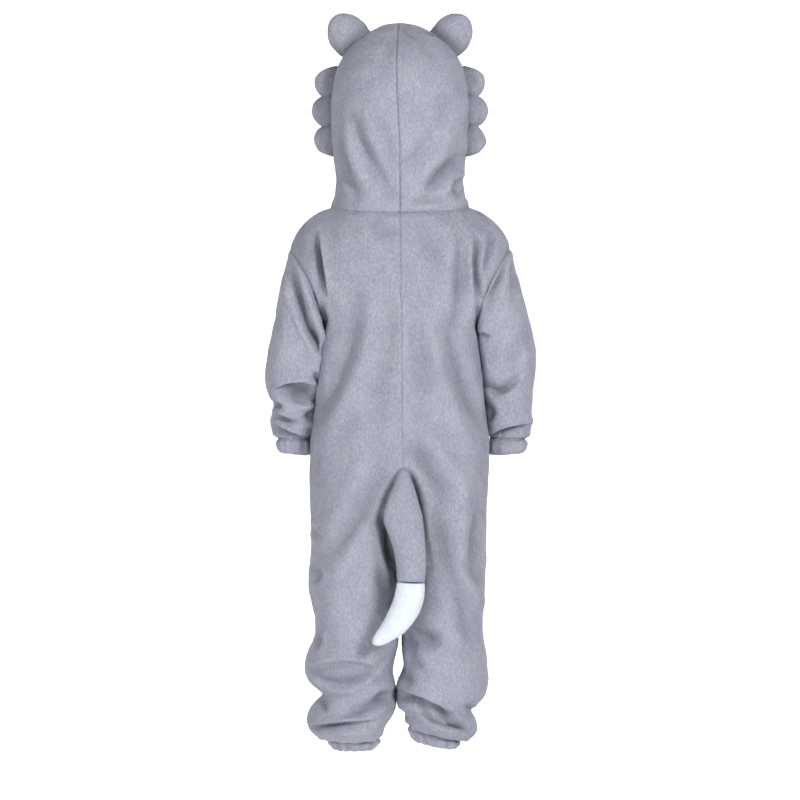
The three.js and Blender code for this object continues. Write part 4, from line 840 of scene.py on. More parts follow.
def plush(name):
    """The ground of the pile: the cloth's colour in brushed patches and fine tufts, soft sheen."""
    label = name.replace("plush", "ground")
    if label in bpy.data.materials:
        return bpy.data.materials[label]
    colour = plush_colour(name)
    material, tree, shader = new_material(label)
    patches = ramp(tree, noise(tree, 34, 3), [
        (0.34, linear(colour * (0.97, 0.975, 0.99))), (0.5, linear(colour)),
        (0.66, linear(colour * (1.025, 1.02, 1.01))),
    ])
    least = 0.9 if name.startswith("white") else 0.72
    tufts = noise(tree, 420, 2, 0.6, drawn=0.5)
    tufts = ramp(tree, tufts, [(0.32, grey(least)), (0.68, grey(1.0))])
    # Painted shade in creases and shadows, painted light on ridges, over the ground's colour.
    tree.links.new(painted_crease_shade(tree, multiplied(tree, patches, tufts)), shader.inputs["Base Color"])
    bumped(tree, shader, noise(tree, 480, 3, 0.65, drawn=0.5), 0.6, 0.001)
    shader.inputs["Roughness"].default_value = 0.92
    shader.inputs["Specular IOR Level"].default_value = 0.15
    shader.inputs["Sheen Weight"].default_value = 0.1
    shader.inputs["Sheen Roughness"].default_value = 0.4
    return material


def pile_fibre(name):
    """The strands: painted shade at the root, painted light at the tip, each a little different, in
    patches.
    """
    label = name.replace("plush", "pile")
    if label in bpy.data.materials:
        return bpy.data.materials[label]
    colour = plush_colour(name)
    material, tree, shader = new_material(label)
    tip = tree.nodes.new("ShaderNodeAttribute")
    tip.attribute_name = "tip"
    strand = tree.nodes.new("ShaderNodeAttribute")
    strand.attribute_name = "strand"
    # Painted shade towards each strand's root and painted light towards its tip.
    length = ramp(tree, tip.outputs["Fac"], [
        (0.0, linear(colour * 0.98)), (1.0, linear(colour * 1.03)),
    ])
    least = 0.93 if name.startswith("white") else 0.78
    each = ramp(tree, strand.outputs["Fac"], [
        (0.0, grey(least - 0.14)), (0.14, grey(least)), (0.86, grey(0.97)), (1.0, grey(1.0)),
    ])
    patches = ramp(tree, noise(tree, 34, 3), [(0.34, grey(0.95)), (0.66, grey(1.0))])
    both = multiplied(tree, multiplied(tree, length, each), patches)
    # Painted shade in creases and shadows, painted light on ridges, over the strands' colour.
    tree.links.new(painted_crease_shade(tree, both), shader.inputs["Base Color"])
    shader.inputs["Roughness"].default_value = 0.85
    shader.inputs["Specular IOR Level"].default_value = 0.12
    shader.inputs["Sheen Weight"].default_value = 0.1
    shader.inputs["Sheen Roughness"].default_value = 0.4
    return material


def backing():
    """The wrong side of the plush: a flat knit, a little darker, with its fine ribs as bump."""
    if "backing" in bpy.data.materials:
        return bpy.data.materials["backing"]
    colour = plush_colour("grey")
    material, tree, shader = new_material("backing")
    shade = ramp(tree, noise(tree, 60, 3), [(0.3, linear(colour * 0.9)), (0.7, linear(colour))])
    tree.links.new(shade, shader.inputs["Base Color"])
    where = tree.nodes.new("ShaderNodeTexCoord")
    ribs = tree.nodes.new("ShaderNodeTexWave")
    ribs.inputs["Scale"].default_value = 160
    ribs.inputs["Distortion"].default_value = 1.5
    tree.links.new(where.outputs["Object"], ribs.inputs["Vector"])
    bumped(tree, shader, ribs.outputs["Fac"], 0.3, 0.0006)
    shader.inputs["Roughness"].default_value = 0.95
    shader.inputs["Sheen Weight"].default_value = 0.2
    return material


def zip_tape_material():
    """Woven tape: fine level bands of two shades of the cloth's grey."""
    if "zip_weave" in bpy.data.materials:
        return bpy.data.materials["zip_weave"]
    colour = plush_colour("grey") * 0.86
    material, tree, shader = new_material("zip_weave")
    where = tree.nodes.new("ShaderNodeTexCoord")
    weave = tree.nodes.new("ShaderNodeTexWave")
    weave.inputs["Scale"].default_value = 420
    weave.bands_direction = "Z"
    tree.links.new(where.outputs["Object"], weave.inputs["Vector"])
    shade = ramp(tree, weave.outputs["Fac"], [(0.2, linear(colour * 0.82)), (0.8, linear(colour))])
    tree.links.new(shade, shader.inputs["Base Color"])
    bumped(tree, shader, weave.outputs["Fac"], 0.4, 0.0004)
    shader.inputs["Roughness"].default_value = 0.75
    return material


def zip_metal_material():
    """Satin metal whose roughness and tint vary in fine scuffs."""
    if "zip_satin" in bpy.data.materials:
        return bpy.data.materials["zip_satin"]
    material, tree, shader = new_material("zip_satin")
    scuffs = ramp(tree, noise(tree, 900, 3), [(0.3, grey(0.3)), (0.75, grey(0.46))])
    tint = ramp(tree, noise(tree, 200, 2), [(0.3, grey(0.5)), (0.7, (0.56, 0.57, 0.6, 1))])
    tree.links.new(tint, shader.inputs["Base Color"])
    tree.links.new(scuffs, shader.inputs["Roughness"])
    shader.inputs["Metallic"].default_value = 1.0
    return material


# Sewn pieces


def dressed(points, folds, grooves, seams, closed=False, extra=0.0, shown=1.0):
    """The grid moved along its normals: sunk by its creases, less where it turns side-on, by the
    grooves of its seams and by what the caller adds, with a faint unevenness all over. Returns the
    points, their normals and the painted shade of each place: -1 painted light on a ridge, 1 in a
    crease."""
    cloth = bpy.context.scene.wolf_onesie.cloth
    normals = grid_normals(points, closed)
    sunk = 0
    for face in (1, -1):
        facing = np.clip((normals[..., 1] * face + 0.22) / 0.7, 0, 1)
        sunk = sunk + fold_depth(folds, points, face) * facing**2 * (3 - 2 * facing)
    uneven = 0.9 * waves(points, 75, 5) + 0.4 * waves(points, 30, 9)
    normals, free = sewn(points, normals, seams)
    if not closed:
        normals[:, 0, 0] = np.where(np.abs(points[:, 0, 0]) < 0.01, 0, normals[:, 0, 0])
    creased = -sunk * shown * cloth.crease_strength - extra + uneven * cloth.unevenness / MM
    moved = points + unit(normals) * (creased * free - grooves)[..., None]
    # Painted shade from the creases' depth and the seam grooves, painted light on ridges.
    hollow = sunk * free * shown / FULL_SHADE_DEPTH + np.clip(grooves, 0, None) * 0.1
    return moved, grid_normals(moved, closed), hollow.clip(-1, 1)


def seam_columns(count):
    """Shares from 0 to 1, closer at the centre seam so that its groove is smooth."""
    return np.concatenate([[0, 0.004, 0.009, 0.016], np.linspace(0.03, 1, count)])


def body_grid(side, face, legs, spacing):
    """A body panel from the neckline to the ankle, columns from the centre seam to the side."""
    columns = seam_columns(60)
    rounding = SHOULDER_ROUNDING * (1 - np.cos(np.linspace(0, np.pi / 2, 34)))
    straight = np.linspace(SHOULDER_ROUNDING, YOKE_LENGTH, 19)[1:]
    drops = np.concatenate([rounding, straight]) / YOKE_LENGTH
    share, drop = np.meshgrid(columns, drops[:-1])
    yoke = yoke_points(side, face, share, drop)
    closer = np.where(legs["z"][1:] < FINE_ROWS_BELOW_Z, 1.8, 1)
    rows = resampled(legs, spacing, {"inner": 0.25, "front": 0.3, "back": 0.3}, closer)
    lower = section_points(side, face, rows, 1 - columns[None, :])
    points = np.concatenate([yoke, lower])
    return relaxed(points, 2), columns, len(yoke)


def body_panel(word, side, face):
    """One front or back panel: its grid, parted at the zip in front, with the seam grooves, the
    gathers and swell over the ankle band, and the two legs bulged until they touch."""
    spacing = bpy.context.scene.wolf_onesie.cloth.spacing / MM
    legs = LEG_LEFT if side > 0 else LEG_RIGHT
    points, columns, yoke_rows = body_grid(side, face, legs, spacing)
    width = np.abs(points[..., 0]).max(axis=1, keepdims=True)
    if face < 0:
        open_share = np.clip((points[..., :1, 2] - ZIP_BOTTOM_Z + 8) / 8, 0, 1)
        shift = ZIP_HALF_WIDTH * open_share * (1 - np.abs(points[..., 0]) / width)
        points[..., 0] += side * shift
    if face > 0 and side > 0:
        beside = np.exp(-(((points[..., 0] - 104) / 8) ** 2) - ((points[..., 2] + 205) / 42) ** 2)
        points[..., 1] += 6 * beside
    centre = edge_distance(points, 1, 0)
    outer = edge_distance(points, 1, 1)
    top = edge_distance(points, 0, 0)
    bottom = edge_distance(points, 0, 1)
    below = np.arange(len(points))[:, None] > yoke_rows
    neck_rows = (columns <= NECK_SHARE)[None, :]
    touch = np.exp(-(((points[..., 2] - LEGS_TOUCH_Z) / 22) ** 2) - (centre / 30) ** 2)
    groove = seam_groove(centre, 0.6) * 0.5 * (1 - touch) - 2.2 * touch
    groove += seam_groove(top) * 0.5 + 2.2 * seam_groove(bottom)
    groove += seam_groove(outer) * np.where(below, 0.45, 1)
    angle = np.pi * columns[None, :] * face
    pleats = gathers(angle, 12, 1 + side) * 2.2 * np.exp(-bottom / 9)
    swell = 2.6 * bell(bottom - 9, 6)
    seams = [(np.where(neck_rows, top, 99), NECK_CENTRE), (bottom, LEG_ENDS[word]),
             (np.where(below, 99, outer), (side * ARMHOLE_CENTRE[0], *ARMHOLE_CENTRE[1:])),
             (np.where(neck_rows, 99, top), (0, 0, -60))]
    moved, normals, hollow = dressed(points, BODY_FOLDS, groove, seams, extra=pleats - swell,
                                     shown=1 - touch)
    # Painted shade where the legs meet and along each leg's bottom over its ankle band.
    hollow += 0.7 * np.exp(-((centre / 18) ** 2) - ((points[..., 2] - LEGS_MEET_Z) / 11) ** 2)
    hollow += 0.45 * bell(bottom, 5)
    if face > 0:
        # Painted shade across the back's shoulders, and painted shadow beside the tail.
        hollow += 0.2 * bell(points[..., 2] + 45, 80)
        hollow = np.maximum(hollow, tail_painted_shadow(points)).clip(-1, 1)
    grid = (bowed(moved, face), normals, hollow, False)
    node = f"{'back' if face > 0 else 'front'}_{word}"
    cloth_piece(node, "panel", grid, 20 + side + 2 * face)


def sleeve(word, side):
    """A sleeve: its first rows keep the armhole's outline, which fades going down, and the side
    beside the body is filled out until it leans there."""
    cloth = bpy.context.scene.wolf_onesie.cloth
    source = SLEEVE_LEFT if side > 0 else SLEEVE_RIGHT
    rows = resampled(source, cloth.spacing / MM * 0.7, {"inner_x": 0.4, "front": 0.3, "back": 0.3})
    angle = np.linspace(0, 2 * np.pi, 97)[:-1]
    first = {name: column[:1] for name, column in source.items()}
    own = armhole_points(side, angle) - limb_points(side, first, angle[None, :])[0]
    keep = smooth(np.arange(len(ARMHOLE_FADE), dtype=float), ARMHOLE_FADE, rows["row"])
    points = limb_points(side, rows, angle[None, :]) + own * keep[:, None, None]
    points = relaxed(points, 2, closed=True)
    top = edge_distance(points, 0, 0)
    bottom = edge_distance(points, 0, 1)
    points[..., 0] -= side * pressed(angle[None, :]) * np.clip(top / 14, 0, 1)
    whole, elbow = SLEEVE_FILL[word]
    fill = whole + elbow * bell(points[..., 2] + 200, 36)
    fill = fill * bell(angle - 2.7, 0.5) * np.clip(top / 25, 0, 1) * np.clip(bottom / 20, 0, 1)
    points[..., 1] += fill
    points[..., 0] -= side * 0.42 * fill
    pleats = gathers(angle[None, :], 10, 2 + side) * 1.6 * np.exp(-bottom / 10)
    pleats = pleats * np.clip(bottom / 3, 0, 1)
    swell = 1.4 * bell(bottom - 8, 5)
    centre = (side * ARMHOLE_CENTRE[0], *ARMHOLE_CENTRE[1:])
    seams = [(top, centre), (bottom, SLEEVE_ENDS[word])]
    grooves = seam_groove(top) + 1.2 * seam_groove(bottom)
    shown = 1 - 0.85 * bell(angle[None, :] - np.pi, 0.42)
    grid = (*dressed(points, SLEEVE_FOLDS, grooves, seams, True, pleats - swell, shown), True)
    cloth_piece(f"sleeve_{word}", "cloth", grid, 40 + side)


def pressed(angle):
    """How far a sleeve leans against the body at each angle: most on its inner side."""
    cloth = bpy.context.scene.wolf_onesie.cloth
    return cloth.sleeve_press / MM * ((1 - np.cos(angle)) / 2) ** 3


def band(node, side, rows, count, lift, drawn_in, squeeze, shade, root):
    """A gathered band: count pleats, lift deep, are deepest at the elastic in its middle and fade
    at its edge, which turns in. squeeze is how far the elastic draws in, shade and root how much
    painted shade the pleats and the seam get."""
    fine = resampled(rows, 1.6)
    angle = np.linspace(0, 2 * np.pi, 9 * count + 1)[:-1]
    points = limb_points(side, fine, angle[None, :])
    if node.startswith("wrist"):
        points[..., 0] -= side * pressed(angle[None, :])
    tucked = mix(points[:1], points[:1].mean(axis=1, keepdims=True), 0.05) + [0, 0, 3]
    points = np.concatenate([tucked, points])
    place = np.linspace(0, 1, len(points))[:, None]
    depth = (0.4 + 0.75 * np.sin(np.pi * place)) * np.clip(place / 0.12, 0, 1)
    depth *= 1 - 0.75 * np.clip((place - 0.5) / 0.4, 0, 1)
    pleats = gathers(angle[None, :], count, 3 + side) * lift * depth
    turned = 4 * np.clip((place - 0.55) / 0.45, 0, 1) ** 2
    turned = turned + drawn_in * seam_groove(edge_distance(points, 0, 0) - 3)
    elastic = squeeze * bell(place - 0.45, 0.22)
    moved = points - grid_normals(points, True) * (pleats + turned + elastic)[..., None]
    # Painted shade in the pleats' folds and at the seam under the roll, painted light on their
    # crests.
    hollow = (shade * pleats / lift + root * bell(place, 0.22)).clip(-1, 1)
    grid = (moved, grid_normals(moved, True), hollow, True)
    cloth_piece(node, "cloth", grid, 60 + side)


def hood_half(word, side):
    """Half the hood, from the centre back round to the face, where its edge is turned and
    topstitched, or over the crown to the seam that joins the halves."""
    cloth = bpy.context.scene.wolf_onesie.cloth
    rows = resampled(HOOD, cloth.spacing / MM * 0.9, HOOD_WEIGHTS)
    points = hood_points(side, rows, seam_columns(68)[None, :])
    closed_rows = rows["face"] > 179.5
    points[closed_rows, -1, 0] = 0
    points = relaxed(points, 3)
    neck = edge_distance(points, 0, 0)
    back = edge_distance(points, 1, 0)
    front = edge_distance(points, 1, 1)
    seam_over = closed_rows[:, None] & (rows["z"][:, None] > 100)
    groove = seam_groove(neck) * 0.5 + seam_groove(back, 0.6)
    groove += np.where(seam_over, seam_groove(front), 0)
    hem = 0.9 * bell(front - 12, 1.6) - 1.1 * np.exp(-((front / 9) ** 4))
    hem = np.where(seam_over, 0, hem)
    swell = -1.2 * bell(neck - 9, 6.5)
    seams = [(neck, NECK_CENTRE)]
    moved, normals, hollow = dressed(points, HOOD_FOLDS, groove, seams, extra=hem + swell)
    moved[:, 0, 0] = 0
    moved[closed_rows & (rows["z"] > 100), -1, 0] = 0
    grid = (bowed(moved, 1), normals, hollow, False)
    cloth_piece(f"hood_{word}", "cloth", grid, 80 + side)


def hood_binding():
    """A narrow tape inside the hood, over the seam that joins its halves down the back."""
    rows = resampled(HOOD, 4, HOOD_WEIGHTS)
    share = np.linspace(0, 0.026, 4)[None, :]
    right, left = hood_points(-1, rows, share), hood_points(1, rows, share)
    points = np.concatenate([right[:, ::-1], left[:, 1:]], 1)
    points = points[(rows["z"] > 16) & (rows["z"] < 252)]
    normals = grid_normals(points)
    tape = surface("hood_binding", bowed(points - normals * 4.1, 1), normals, [backing()])
    thickened(tape, 0.8 * MM)
    placed(tape)


# Stuffed pieces


def stuffed(node, points, slot, seed, hollow, share=1.1):
    """A closed stuffed form over a grid whose columns close on themselves, with its pile."""
    normals = grid_normals(points, True)
    obj = surface(f"{node}_form", points, normals, [plush(slot)], True)
    add_values(obj, hollow=hollow.ravel())
    mended(obj, fill=True, outward=True)
    placed(obj, node)
    grow_pile(f"{node}_pile", (points, normals, hollow, True), slot, seed, share)


def uneven(points, size, length, seed):
    """The closed grid with its rings swollen and drawn in by smooth waves."""
    outward = unit(points - points.mean(axis=1, keepdims=True))
    return points + outward * (size * waves(points, length, seed)[..., None])


def ear(word, side):
    """An ear: level sections from the hood to the tip, cupped forward, with a seam at its rim."""
    rows = resampled(EAR, 1.9)
    row = {name: column[:, None] for name, column in rows.items()}
    turn = np.linspace(0, 2 * np.pi, 49)[:-1][None, :]
    lean = np.radians(EAR_LEAN)
    up = np.array([side * np.sin(lean), 0, np.cos(lean)])
    across = np.array([side * np.cos(lean), 0, -np.sin(lean)])
    base = np.array([side * EAR_BASE[0], EAR_BASE[1], EAR_BASE[2]])
    share = row["half_width"] / 25
    cup = EAR_CUP * np.cos(turn) ** 2 * share**2 * np.clip(row["up"] / 20, 0, 1)
    rim = 1 - 0.05 * bell(np.sin(turn), 0.16)
    out = 1.03 * row["half_width"] * power(np.cos(turn), 0.9) * rim
    deep = row["half_thickness"] * power(np.sin(turn), 0.9) - cup
    points = base + 1.035 * row["up"][..., None] * up + out[..., None] * across
    points[..., 1] += deep
    # Painted shade at the ear's base, where it meets the hood.
    root = np.clip(1 - (row["up"] - 9) / 12, 0, 1) * 0.8 + 0 * turn
    stuffed(f"ear_{word}", uneven(points, 0.5, 22, 31), "grey_plush", 100 + side, root)


def cheek_tuft(word, side):
    """A tuft: level sections whose reach follows three round lobes, pinched where they meet."""
    z = np.linspace(TUFT_TOP, TUFT_BOTTOM, 84)[:, None]
    lobes = [1 - ((z - TUFT_LOBES["z"][i]) / TUFT_LOBES["half_height"][i]) ** 2 for i in range(3)]
    bulges = np.sqrt(np.clip(np.stack(lobes), 0, 1))
    which = bulges.argmax(axis=0)
    round_share = bulges.max(axis=0)
    between = (z < TUFT_LOBES["z"][0]) & (z > TUFT_LOBES["z"][2])
    least = np.where(between, TUFT_NOTCH, TUFT_END)
    reach = mix(least, TUFT_LOBES["reach"][which], round_share)
    thick = TUFT_HALF_THICKNESS * mix(0.4, 1, round_share**0.8)
    turn = np.linspace(0, 2 * np.pi, 41)[:-1][None, :]
    out = (1 + power(np.cos(turn), 0.85)) / 2
    rim = 1 - 0.03 * bell(np.sin(turn), 0.18) * (np.cos(turn) > 0)
    x = side * mix(TUFT_ROOT_X, reach * rim, out)
    y = TUFT_Y + thick * power(np.sin(turn), 0.85) * (0.75 + 0.25 * out)
    points = np.stack(np.broadcast_arrays(x, y, z), -1)
    points[1:-1] = relaxed(points, 1, closed=True)[1:-1]
    points = uneven(points, 0.5, 20, 37)
    # Painted shade at the tuft's root beside the hood, and where its lobes narrow.
    root = 0.55 * np.clip((103 - np.abs(points[..., 0])) / 9, 0, 1) + 1.5 * (1 - round_share) ** 2
    stuffed(f"cheek_tuft_{word}", points, "grey_plush", 110 + side, root.clip(0, 1))


def tail_grid(first, last):
    """Sections square to the tail's middle line, between two rows of its table."""
    rows = resampled(TAIL, 2.4)
    inside = (rows["row"] >= first - 1e-6) & (rows["row"] <= last + 1e-6)
    middle = np.stack([rows["x"], rows["y"], rows["z"]], -1)
    along = unit(np.gradient(middle, axis=0))
    across = unit(np.cross([0, 1.0, 0], along))
    deep = unit(np.cross(along, across))
    turn = np.linspace(0, 2 * np.pi, 45)[:-1]
    seam = 1 - 0.05 * bell(np.sin(turn), 0.2)
    ring = np.stack([np.cos(turn) * seam, np.sin(turn)], -1)
    half_width, half_depth = rows["half_width"][:, None, None], rows["half_depth"][:, None, None]
    points = middle[:, None] + half_width * ring[None, :, :1] * across[:, None]
    points = points + half_depth * ring[None, :, 1:] * deep[:, None]
    swell = 0.4 * waves(points, 40, 41)
    size = np.clip(rows["half_width"] / 12, 0, 1)[:, None]
    points += unit(points - middle[:, None]) * (swell * size)[..., None]
    return points[inside]


def tail_pieces():
    """The tail and its tip, each pinched at the seam between them. The tail's painted shade is on
    the half that lies against the back."""
    grey_part = tail_grid(0, TAIL_TIP_ROW)
    white_part = tail_grid(TAIL_TIP_ROW, len(TAIL["x"]) - 1)
    for points, end in ((grey_part, -1), (white_part, 0)):
        middle = points.mean(axis=1, keepdims=True)
        near = np.abs(np.arange(len(points)) - (len(points) - 1 if end else 0))
        pinch = 1 - 0.012 * bell(near, 1.3)
        points[:] = middle + (points - middle) * pinch[:, None, None]
    # Painted shade on the half of the tail that lies against the back.
    depth = grey_part[..., 1]
    low = (depth.max(axis=1, keepdims=True) - depth) / np.ptp(depth, axis=1, keepdims=True).clip(1)
    stuffed("tail", grey_part, "grey_plush", 120, np.clip((low - 0.3) / 0.4, 0, 1) * 0.9)
    stuffed("tail_tip", white_part, "white_plush", 121, np.zeros(white_part.shape[:2]), 1.25)


# The zip


def centre_front():
    """The line down the middle of the front: its depth at each height of the zip."""
    drops = np.linspace(0.004, 1, 60)
    yoke = yoke_points(1, -1, np.zeros(60), drops)
    z = np.linspace(UNDERARM_Z, ZIP_BOTTOM_Z - 10, 94)[1:]
    lower = np.stack([-smooth(LEG_LEFT["z"], LEG_LEFT["front"], z), z], -1)
    return np.concatenate([yoke[:, 1:], lower])


def zip_closure():
    """The tape between the fronts, with a row of small coil loops on each side of its middle."""
    line = centre_front()
    length = np.concatenate([[0], np.cumsum(np.hypot(*np.diff(line, axis=0).T))])
    across = np.linspace(-1, 1, 13)
    ridge = 0.9 * bell(across, 0.35)
    half = ZIP_HALF_WIDTH + 0.8
    x = np.broadcast_to(across * half, (len(line), 13))
    y = line[:, :1] + ZIP_RECESS + 0.5 - ridge[None, :] * 0.4
    points = np.stack([x, y, np.broadcast_to(line[:, 1:], x.shape)], -1)
    normals = np.zeros(points.shape)
    normals[..., 1] = -1
    tape = surface("zip_tape_strip", points, normals, [zip_tape_material()])
    thickened(tape, 1.2 * MM)
    placed(tape, "zip")
    count = int(length[-1] / 2.0)
    at = np.linspace(2, length[-1] - 2, count)
    y, z = np.interp(at, length, line[:, 0]), np.interp(at, length, line[:, 1])
    turn = np.linspace(0, 2 * np.pi, 7)[:-1]
    loops = []
    for hand in (1, -1):
        along = np.array([-0.35, 0.35, 1.1, 1.5]) * hand
        size = np.array([0.3, 0.75, 0.7, 0.25])
        ring_y = size[:, None] * np.cos(turn) * 0.75
        ring_z = size[:, None] * np.sin(turn) * 0.85
        loop = np.stack([np.broadcast_to(along[:, None] * 1.25, ring_y.shape), ring_y, ring_z], -1)
        place = np.stack([np.zeros(count), y + ZIP_RECESS - 0.35, z + 0.5 * hand], -1)
        loops.append(place[:, None, None] + loop[None])
    loops = np.concatenate(loops).reshape(-1, 24, 3)
    quads = grid_faces(4, 6, True, False)
    caps = np.array([[0, 1, 2, 3], [0, 3, 4, 5], [18, 21, 20, 19], [18, 23, 22, 21]])
    one = np.concatenate([quads, caps])
    faces = (np.arange(len(loops))[:, None, None] * 24 + one).reshape(-1, 4)
    coil = new_mesh("zip_coil", loops.reshape(-1, 3), faces, [zip_tape_material()])
    mended(coil, weld=False, outward=True)
    placed(coil)


def zip_hardware():
    """The slider and its pull keep their CAD shape, copied, welded and given rounded edges."""
    for node, body in (("zip_slider", GARMENT), ("zip_pull", PULL_BODY)):
        source = bpy.data.objects[node]
        mesh = source.data.copy()
        obj = bpy.data.objects.new(f"{node}_metal", mesh)
        bpy.context.scene.collection.objects.link(obj)
        mesh.materials.clear()
        mesh.materials.append(zip_metal_material())
        mended(obj)
        bevel = obj.modifiers.new("edges", "BEVEL")
        bevel.width = 0.35 * MM
        bevel.segments = 3
        bevel.limit_method = "ANGLE"
        bevel.angle_limit = np.radians(35)
        placed(obj, node, body)


# Settings, operators and the panel


class ClothSettings(bpy.types.PropertyGroup):
    spacing: FloatProperty(name="Grid spacing", description="Distance between points of the cloth",
                           default=0.0034, min=0.002, max=0.02, subtype="DISTANCE")
    thickness: FloatProperty(name="Thickness", description="Thickness without the pile",
                             default=0.0022, subtype="DISTANCE")
    seam_depth: FloatProperty(name="Seam depth", description="How far the cloth turns in at a seam",
                              default=0.0014, subtype="DISTANCE")
    seam_width: FloatProperty(name="Seam width", description="How far a seam's pull reaches",
                              default=0.003, subtype="DISTANCE")
    unevenness: FloatProperty(name="Unevenness", description="Size of the cloth's faint waves",
                              default=0.0008, subtype="DISTANCE")
    sleeve_press: FloatProperty(name="Sleeve press",
                                description="How far the sleeves lean against the body",
                                default=0.0027, subtype="DISTANCE")
    crease_strength: FloatProperty(name="Crease strength",
                                   description="Scales every crease's depth", default=1.4,
                                   subtype="FACTOR")
    grey: FloatVectorProperty(name="Grey", description="Colour of the grey plush, as it looks",
                              default=(0.655, 0.659, 0.717), size=3, min=0, max=1, subtype="COLOR")
    white: FloatVectorProperty(name="White", description="Colour of the white plush, as it looks",
                               default=(0.89, 0.915, 0.945), size=3, min=0, max=1, subtype="COLOR")


class PileSettings(bpy.types.PropertyGroup):
    length: FloatProperty(name="Length", description="Length of a strand", default=0.0027,
                          subtype="DISTANCE")
    width: FloatProperty(name="Width", description="Thickness of a strand at its root",
                         default=0.00106, subtype="DISTANCE")
    density: FloatProperty(name="Density", description="Strands on a square millimetre",
                           default=0.25, min=0.01)
    lean: FloatProperty(name="Lean", description="How strongly the nap points down", default=0.75)
    lift: FloatProperty(name="Lift", description="How far the strands stand up", default=0.4)
    relief: FloatProperty(name="Relief", description="How much each strand shades by itself",
                          default=0.65, min=0, max=1, subtype="FACTOR")


class StageSettings(bpy.types.PropertyGroup):
    floor_z: FloatProperty(name="Floor", description="Height of the floor", default=-1.2,
                           subtype="DISTANCE")
    lens: FloatProperty(name="Lens", description="Focal length in millimetres", default=110)
    distance: FloatProperty(name="Distance", description="From the camera to the garment",
                            default=3.324, subtype="DISTANCE")
    height: FloatProperty(name="Camera height", description="Height of the camera", default=-0.2516,
                          subtype="DISTANCE")


class OnesieSettings(bpy.types.PropertyGroup):
    cloth: PointerProperty(type=ClothSettings)
    pile: PointerProperty(type=PileSettings)
    stage: PointerProperty(type=StageSettings)


class SewBody(bpy.types.Operator):
    """Sew the front and back panels of the body"""

    bl_idname = "wolf_onesie.body"
    bl_label = "Body"

    def execute(self, context):
        for word, side in SIDES:
            body_panel(word, side, 1)
            body_panel(word, side, -1)
        return {"FINISHED"}


class SewSleeves(bpy.types.Operator):
    """Set in the two sleeves"""

    bl_idname = "wolf_onesie.sleeves"
    bl_label = "Sleeves"

    def execute(self, context):
        for word, side in SIDES:
            sleeve(word, side)
        return {"FINISHED"}


class SewBands(bpy.types.Operator):
    """Gather the bands at the wrists and ankles"""

    bl_idname = "wolf_onesie.bands"
    bl_label = "Bands"

    def execute(self, context):
        for word, side in SIDES:
            band(f"wrist_band_{word}", side, WRISTS[word], count=12, lift=0.7, drawn_in=1.2,
                 squeeze=-1.0, shade=0.16, root=0.3)
            band(f"ankle_band_{word}", side, ANKLES[word], count=13, lift=1.9, drawn_in=2.2,
                 squeeze=0.6, shade=0.55, root=0.4)
        return {"FINISHED"}


class SewHood(bpy.types.Operator):
    """Sew the two halves of the hood"""

    bl_idname = "wolf_onesie.hood"
    bl_label = "Hood"

    def execute(self, context):
        for word, side in SIDES:
            hood_half(word, side)
        hood_binding()
        return {"FINISHED"}


class SewEars(bpy.types.Operator):
    """Stuff the ears and cheek tufts"""

    bl_idname = "wolf_onesie.ears"
    bl_label = "Ears and Tufts"

    def execute(self, context):
        for word, side in SIDES:
            ear(word, side)
            cheek_tuft(word, side)
        return {"FINISHED"}


class SewTail(bpy.types.Operator):
    """Stuff the tail and its white tip"""

    bl_idname = "wolf_onesie.tail"
    bl_label = "Tail"

    def execute(self, context):
        tail_pieces()
        return {"FINISHED"}


class SewZip(bpy.types.Operator):
    """Set in the zip with its slider and pull"""

    bl_idname = "wolf_onesie.zip"
    bl_label = "Zip"

    def execute(self, context):
        zip_closure()
        zip_hardware()
        return {"FINISHED"}


class SetStage(bpy.types.Operator):
    """Lay the floor, hang the lights and set the camera behind the garment"""

    bl_idname = "wolf_onesie.stage"
    bl_label = "Stage"

    def execute(self, context):
        stage = context.scene.wolf_onesie.stage
        floor_and_backdrop(stage)
        lights()
        lens = bpy.data.cameras.new("camera")
        lens.lens = stage.lens
        lens.sensor_width = 36
        camera = bpy.data.objects.new("camera", lens)
        camera.location = (0, stage.distance, stage.height)
        camera.rotation_euler = (np.pi / 2, 0, np.pi)
        context.scene.collection.objects.link(camera)
        context.scene.camera = camera
        return {"FINISHED"}


def floor_and_backdrop(stage):
    """A pale floor that sweeps up behind, a profile carried sideways."""
    bend = np.linspace(0, np.pi / 2, 17)
    y = np.concatenate([[6000], -2600 - 1200 * np.sin(bend), [-3800]])
    z = np.concatenate([[0], 1200 * (1 - np.cos(bend)), [5200]]) + stage.floor_z / MM
    x = np.array([-6000.0, 6000.0])
    points = np.stack(np.broadcast_arrays(x[None, :], y[:, None], z[:, None]), -1)
    material, tree, shader = new_material("floor")
    tone = ramp(tree, noise(tree, 2, 2), [(0.3, grey(0.9)), (0.7, grey(0.92))])
    tree.links.new(tone, shader.inputs["Base Color"])
    shader.inputs["Roughness"].default_value = 0.9
    obj = new_mesh("floor", points.reshape(-1, 3), grid_faces(len(y), 2, False, False), [material])


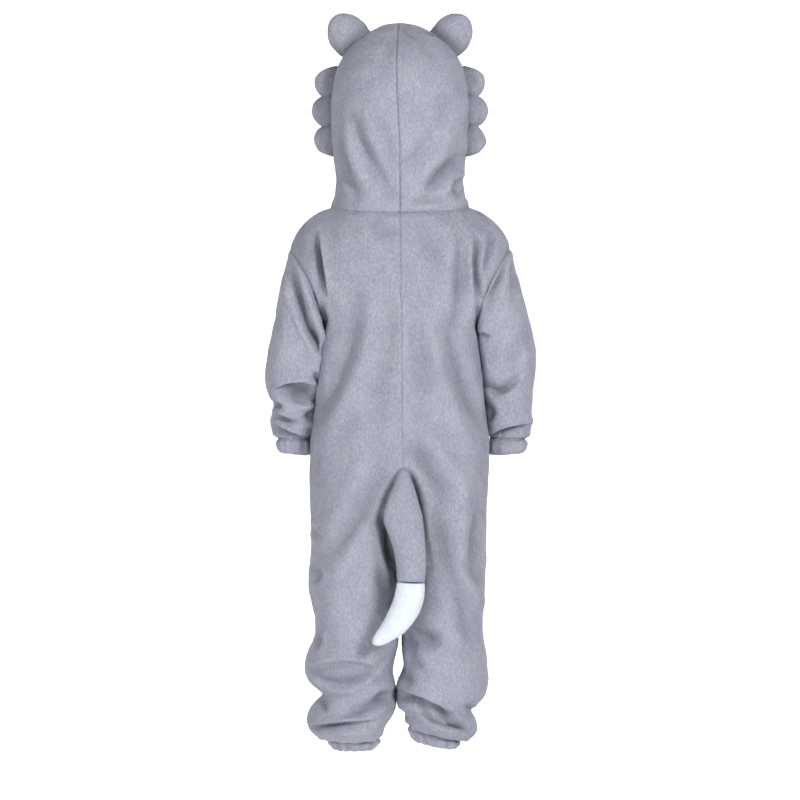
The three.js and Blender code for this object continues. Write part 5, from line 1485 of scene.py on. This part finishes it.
def lights():
    """A wide soft light beside the camera, a weaker one opposite, one overhead and a white room."""
    world = bpy.data.worlds.new("room")
    world.use_nodes = True
    world.node_tree.nodes["Background"].inputs["Color"].default_value = (0.95, 0.97, 1.0, 1)
    world.node_tree.nodes["Background"].inputs["Strength"].default_value = 0.16
    bpy.context.scene.world = world
    for name, place, aim, size, watts in (
        ("key", (-1.9, 3.1, 1.0), (0, 0, -0.4), 0.9, 109),
        ("fill", (1.8, 2.7, -0.4), (0, 0, -0.6), 1.4, 48),
        ("top", (0, 0.6, 2.6), (0, 0, -0.1), 1.2, 6),
        ("front", (0.8, -2.4, 1.6), (0, 0, -0.2), 1.6, 16),
        ("backdrop_left", (2.2, -1.6, 1.8), (1.2, -3.8, 0.2), 1.6, 110),
        ("backdrop_right", (-2.2, -1.6, 1.8), (-1.2, -3.8, 0.2), 1.6, 110),
    ):
        lamp = bpy.data.lights.new(name, "AREA")
        lamp.size = size
        lamp.energy = watts
        obj = bpy.data.objects.new(name, lamp)
        obj.location = place
        obj.rotation_euler = (Vector(aim) - Vector(place)).to_track_quat("-Z", "Y").to_euler()
        bpy.context.scene.collection.objects.link(obj)
    bpy.context.scene.view_settings.view_transform = "Standard"


STEPS = (SetStage, SewBody, SewSleeves, SewBands, SewHood, SewEars, SewTail, SewZip)


class OnesiePanel(bpy.types.Panel):
    bl_idname = "VIEW3D_PT_wolf_onesie"
    bl_label = "Wolf Onesie"
    bl_space_type = "VIEW_3D"
    bl_region_type = "UI"
    bl_category = "Wolf Onesie"

    def draw(self, context):
        settings = context.scene.wolf_onesie
        for group in (settings.cloth, settings.pile, settings.stage):
            box = self.layout.box()
            for key in group.bl_rna.properties.keys():
                if key not in ("rna_type", "name"):
                    box.prop(group, key)
        for step in STEPS:
            self.layout.operator(step.bl_idname)


CLASSES = (ClothSettings, PileSettings, StageSettings, OnesieSettings, *STEPS, OnesiePanel)


def register():
    for cls in CLASSES:
        bpy.utils.register_class(cls)
    bpy.types.Scene.wolf_onesie = PointerProperty(type=OnesieSettings)


def unregister():
    del bpy.types.Scene.wolf_onesie
    for cls in reversed(CLASSES):
        bpy.utils.unregister_class(cls)


def main():
    register()
    for step in STEPS:
        group, action = step.bl_idname.split(".")
        getattr(getattr(bpy.ops, group), action)()


if __name__ == "__main__":
    main()
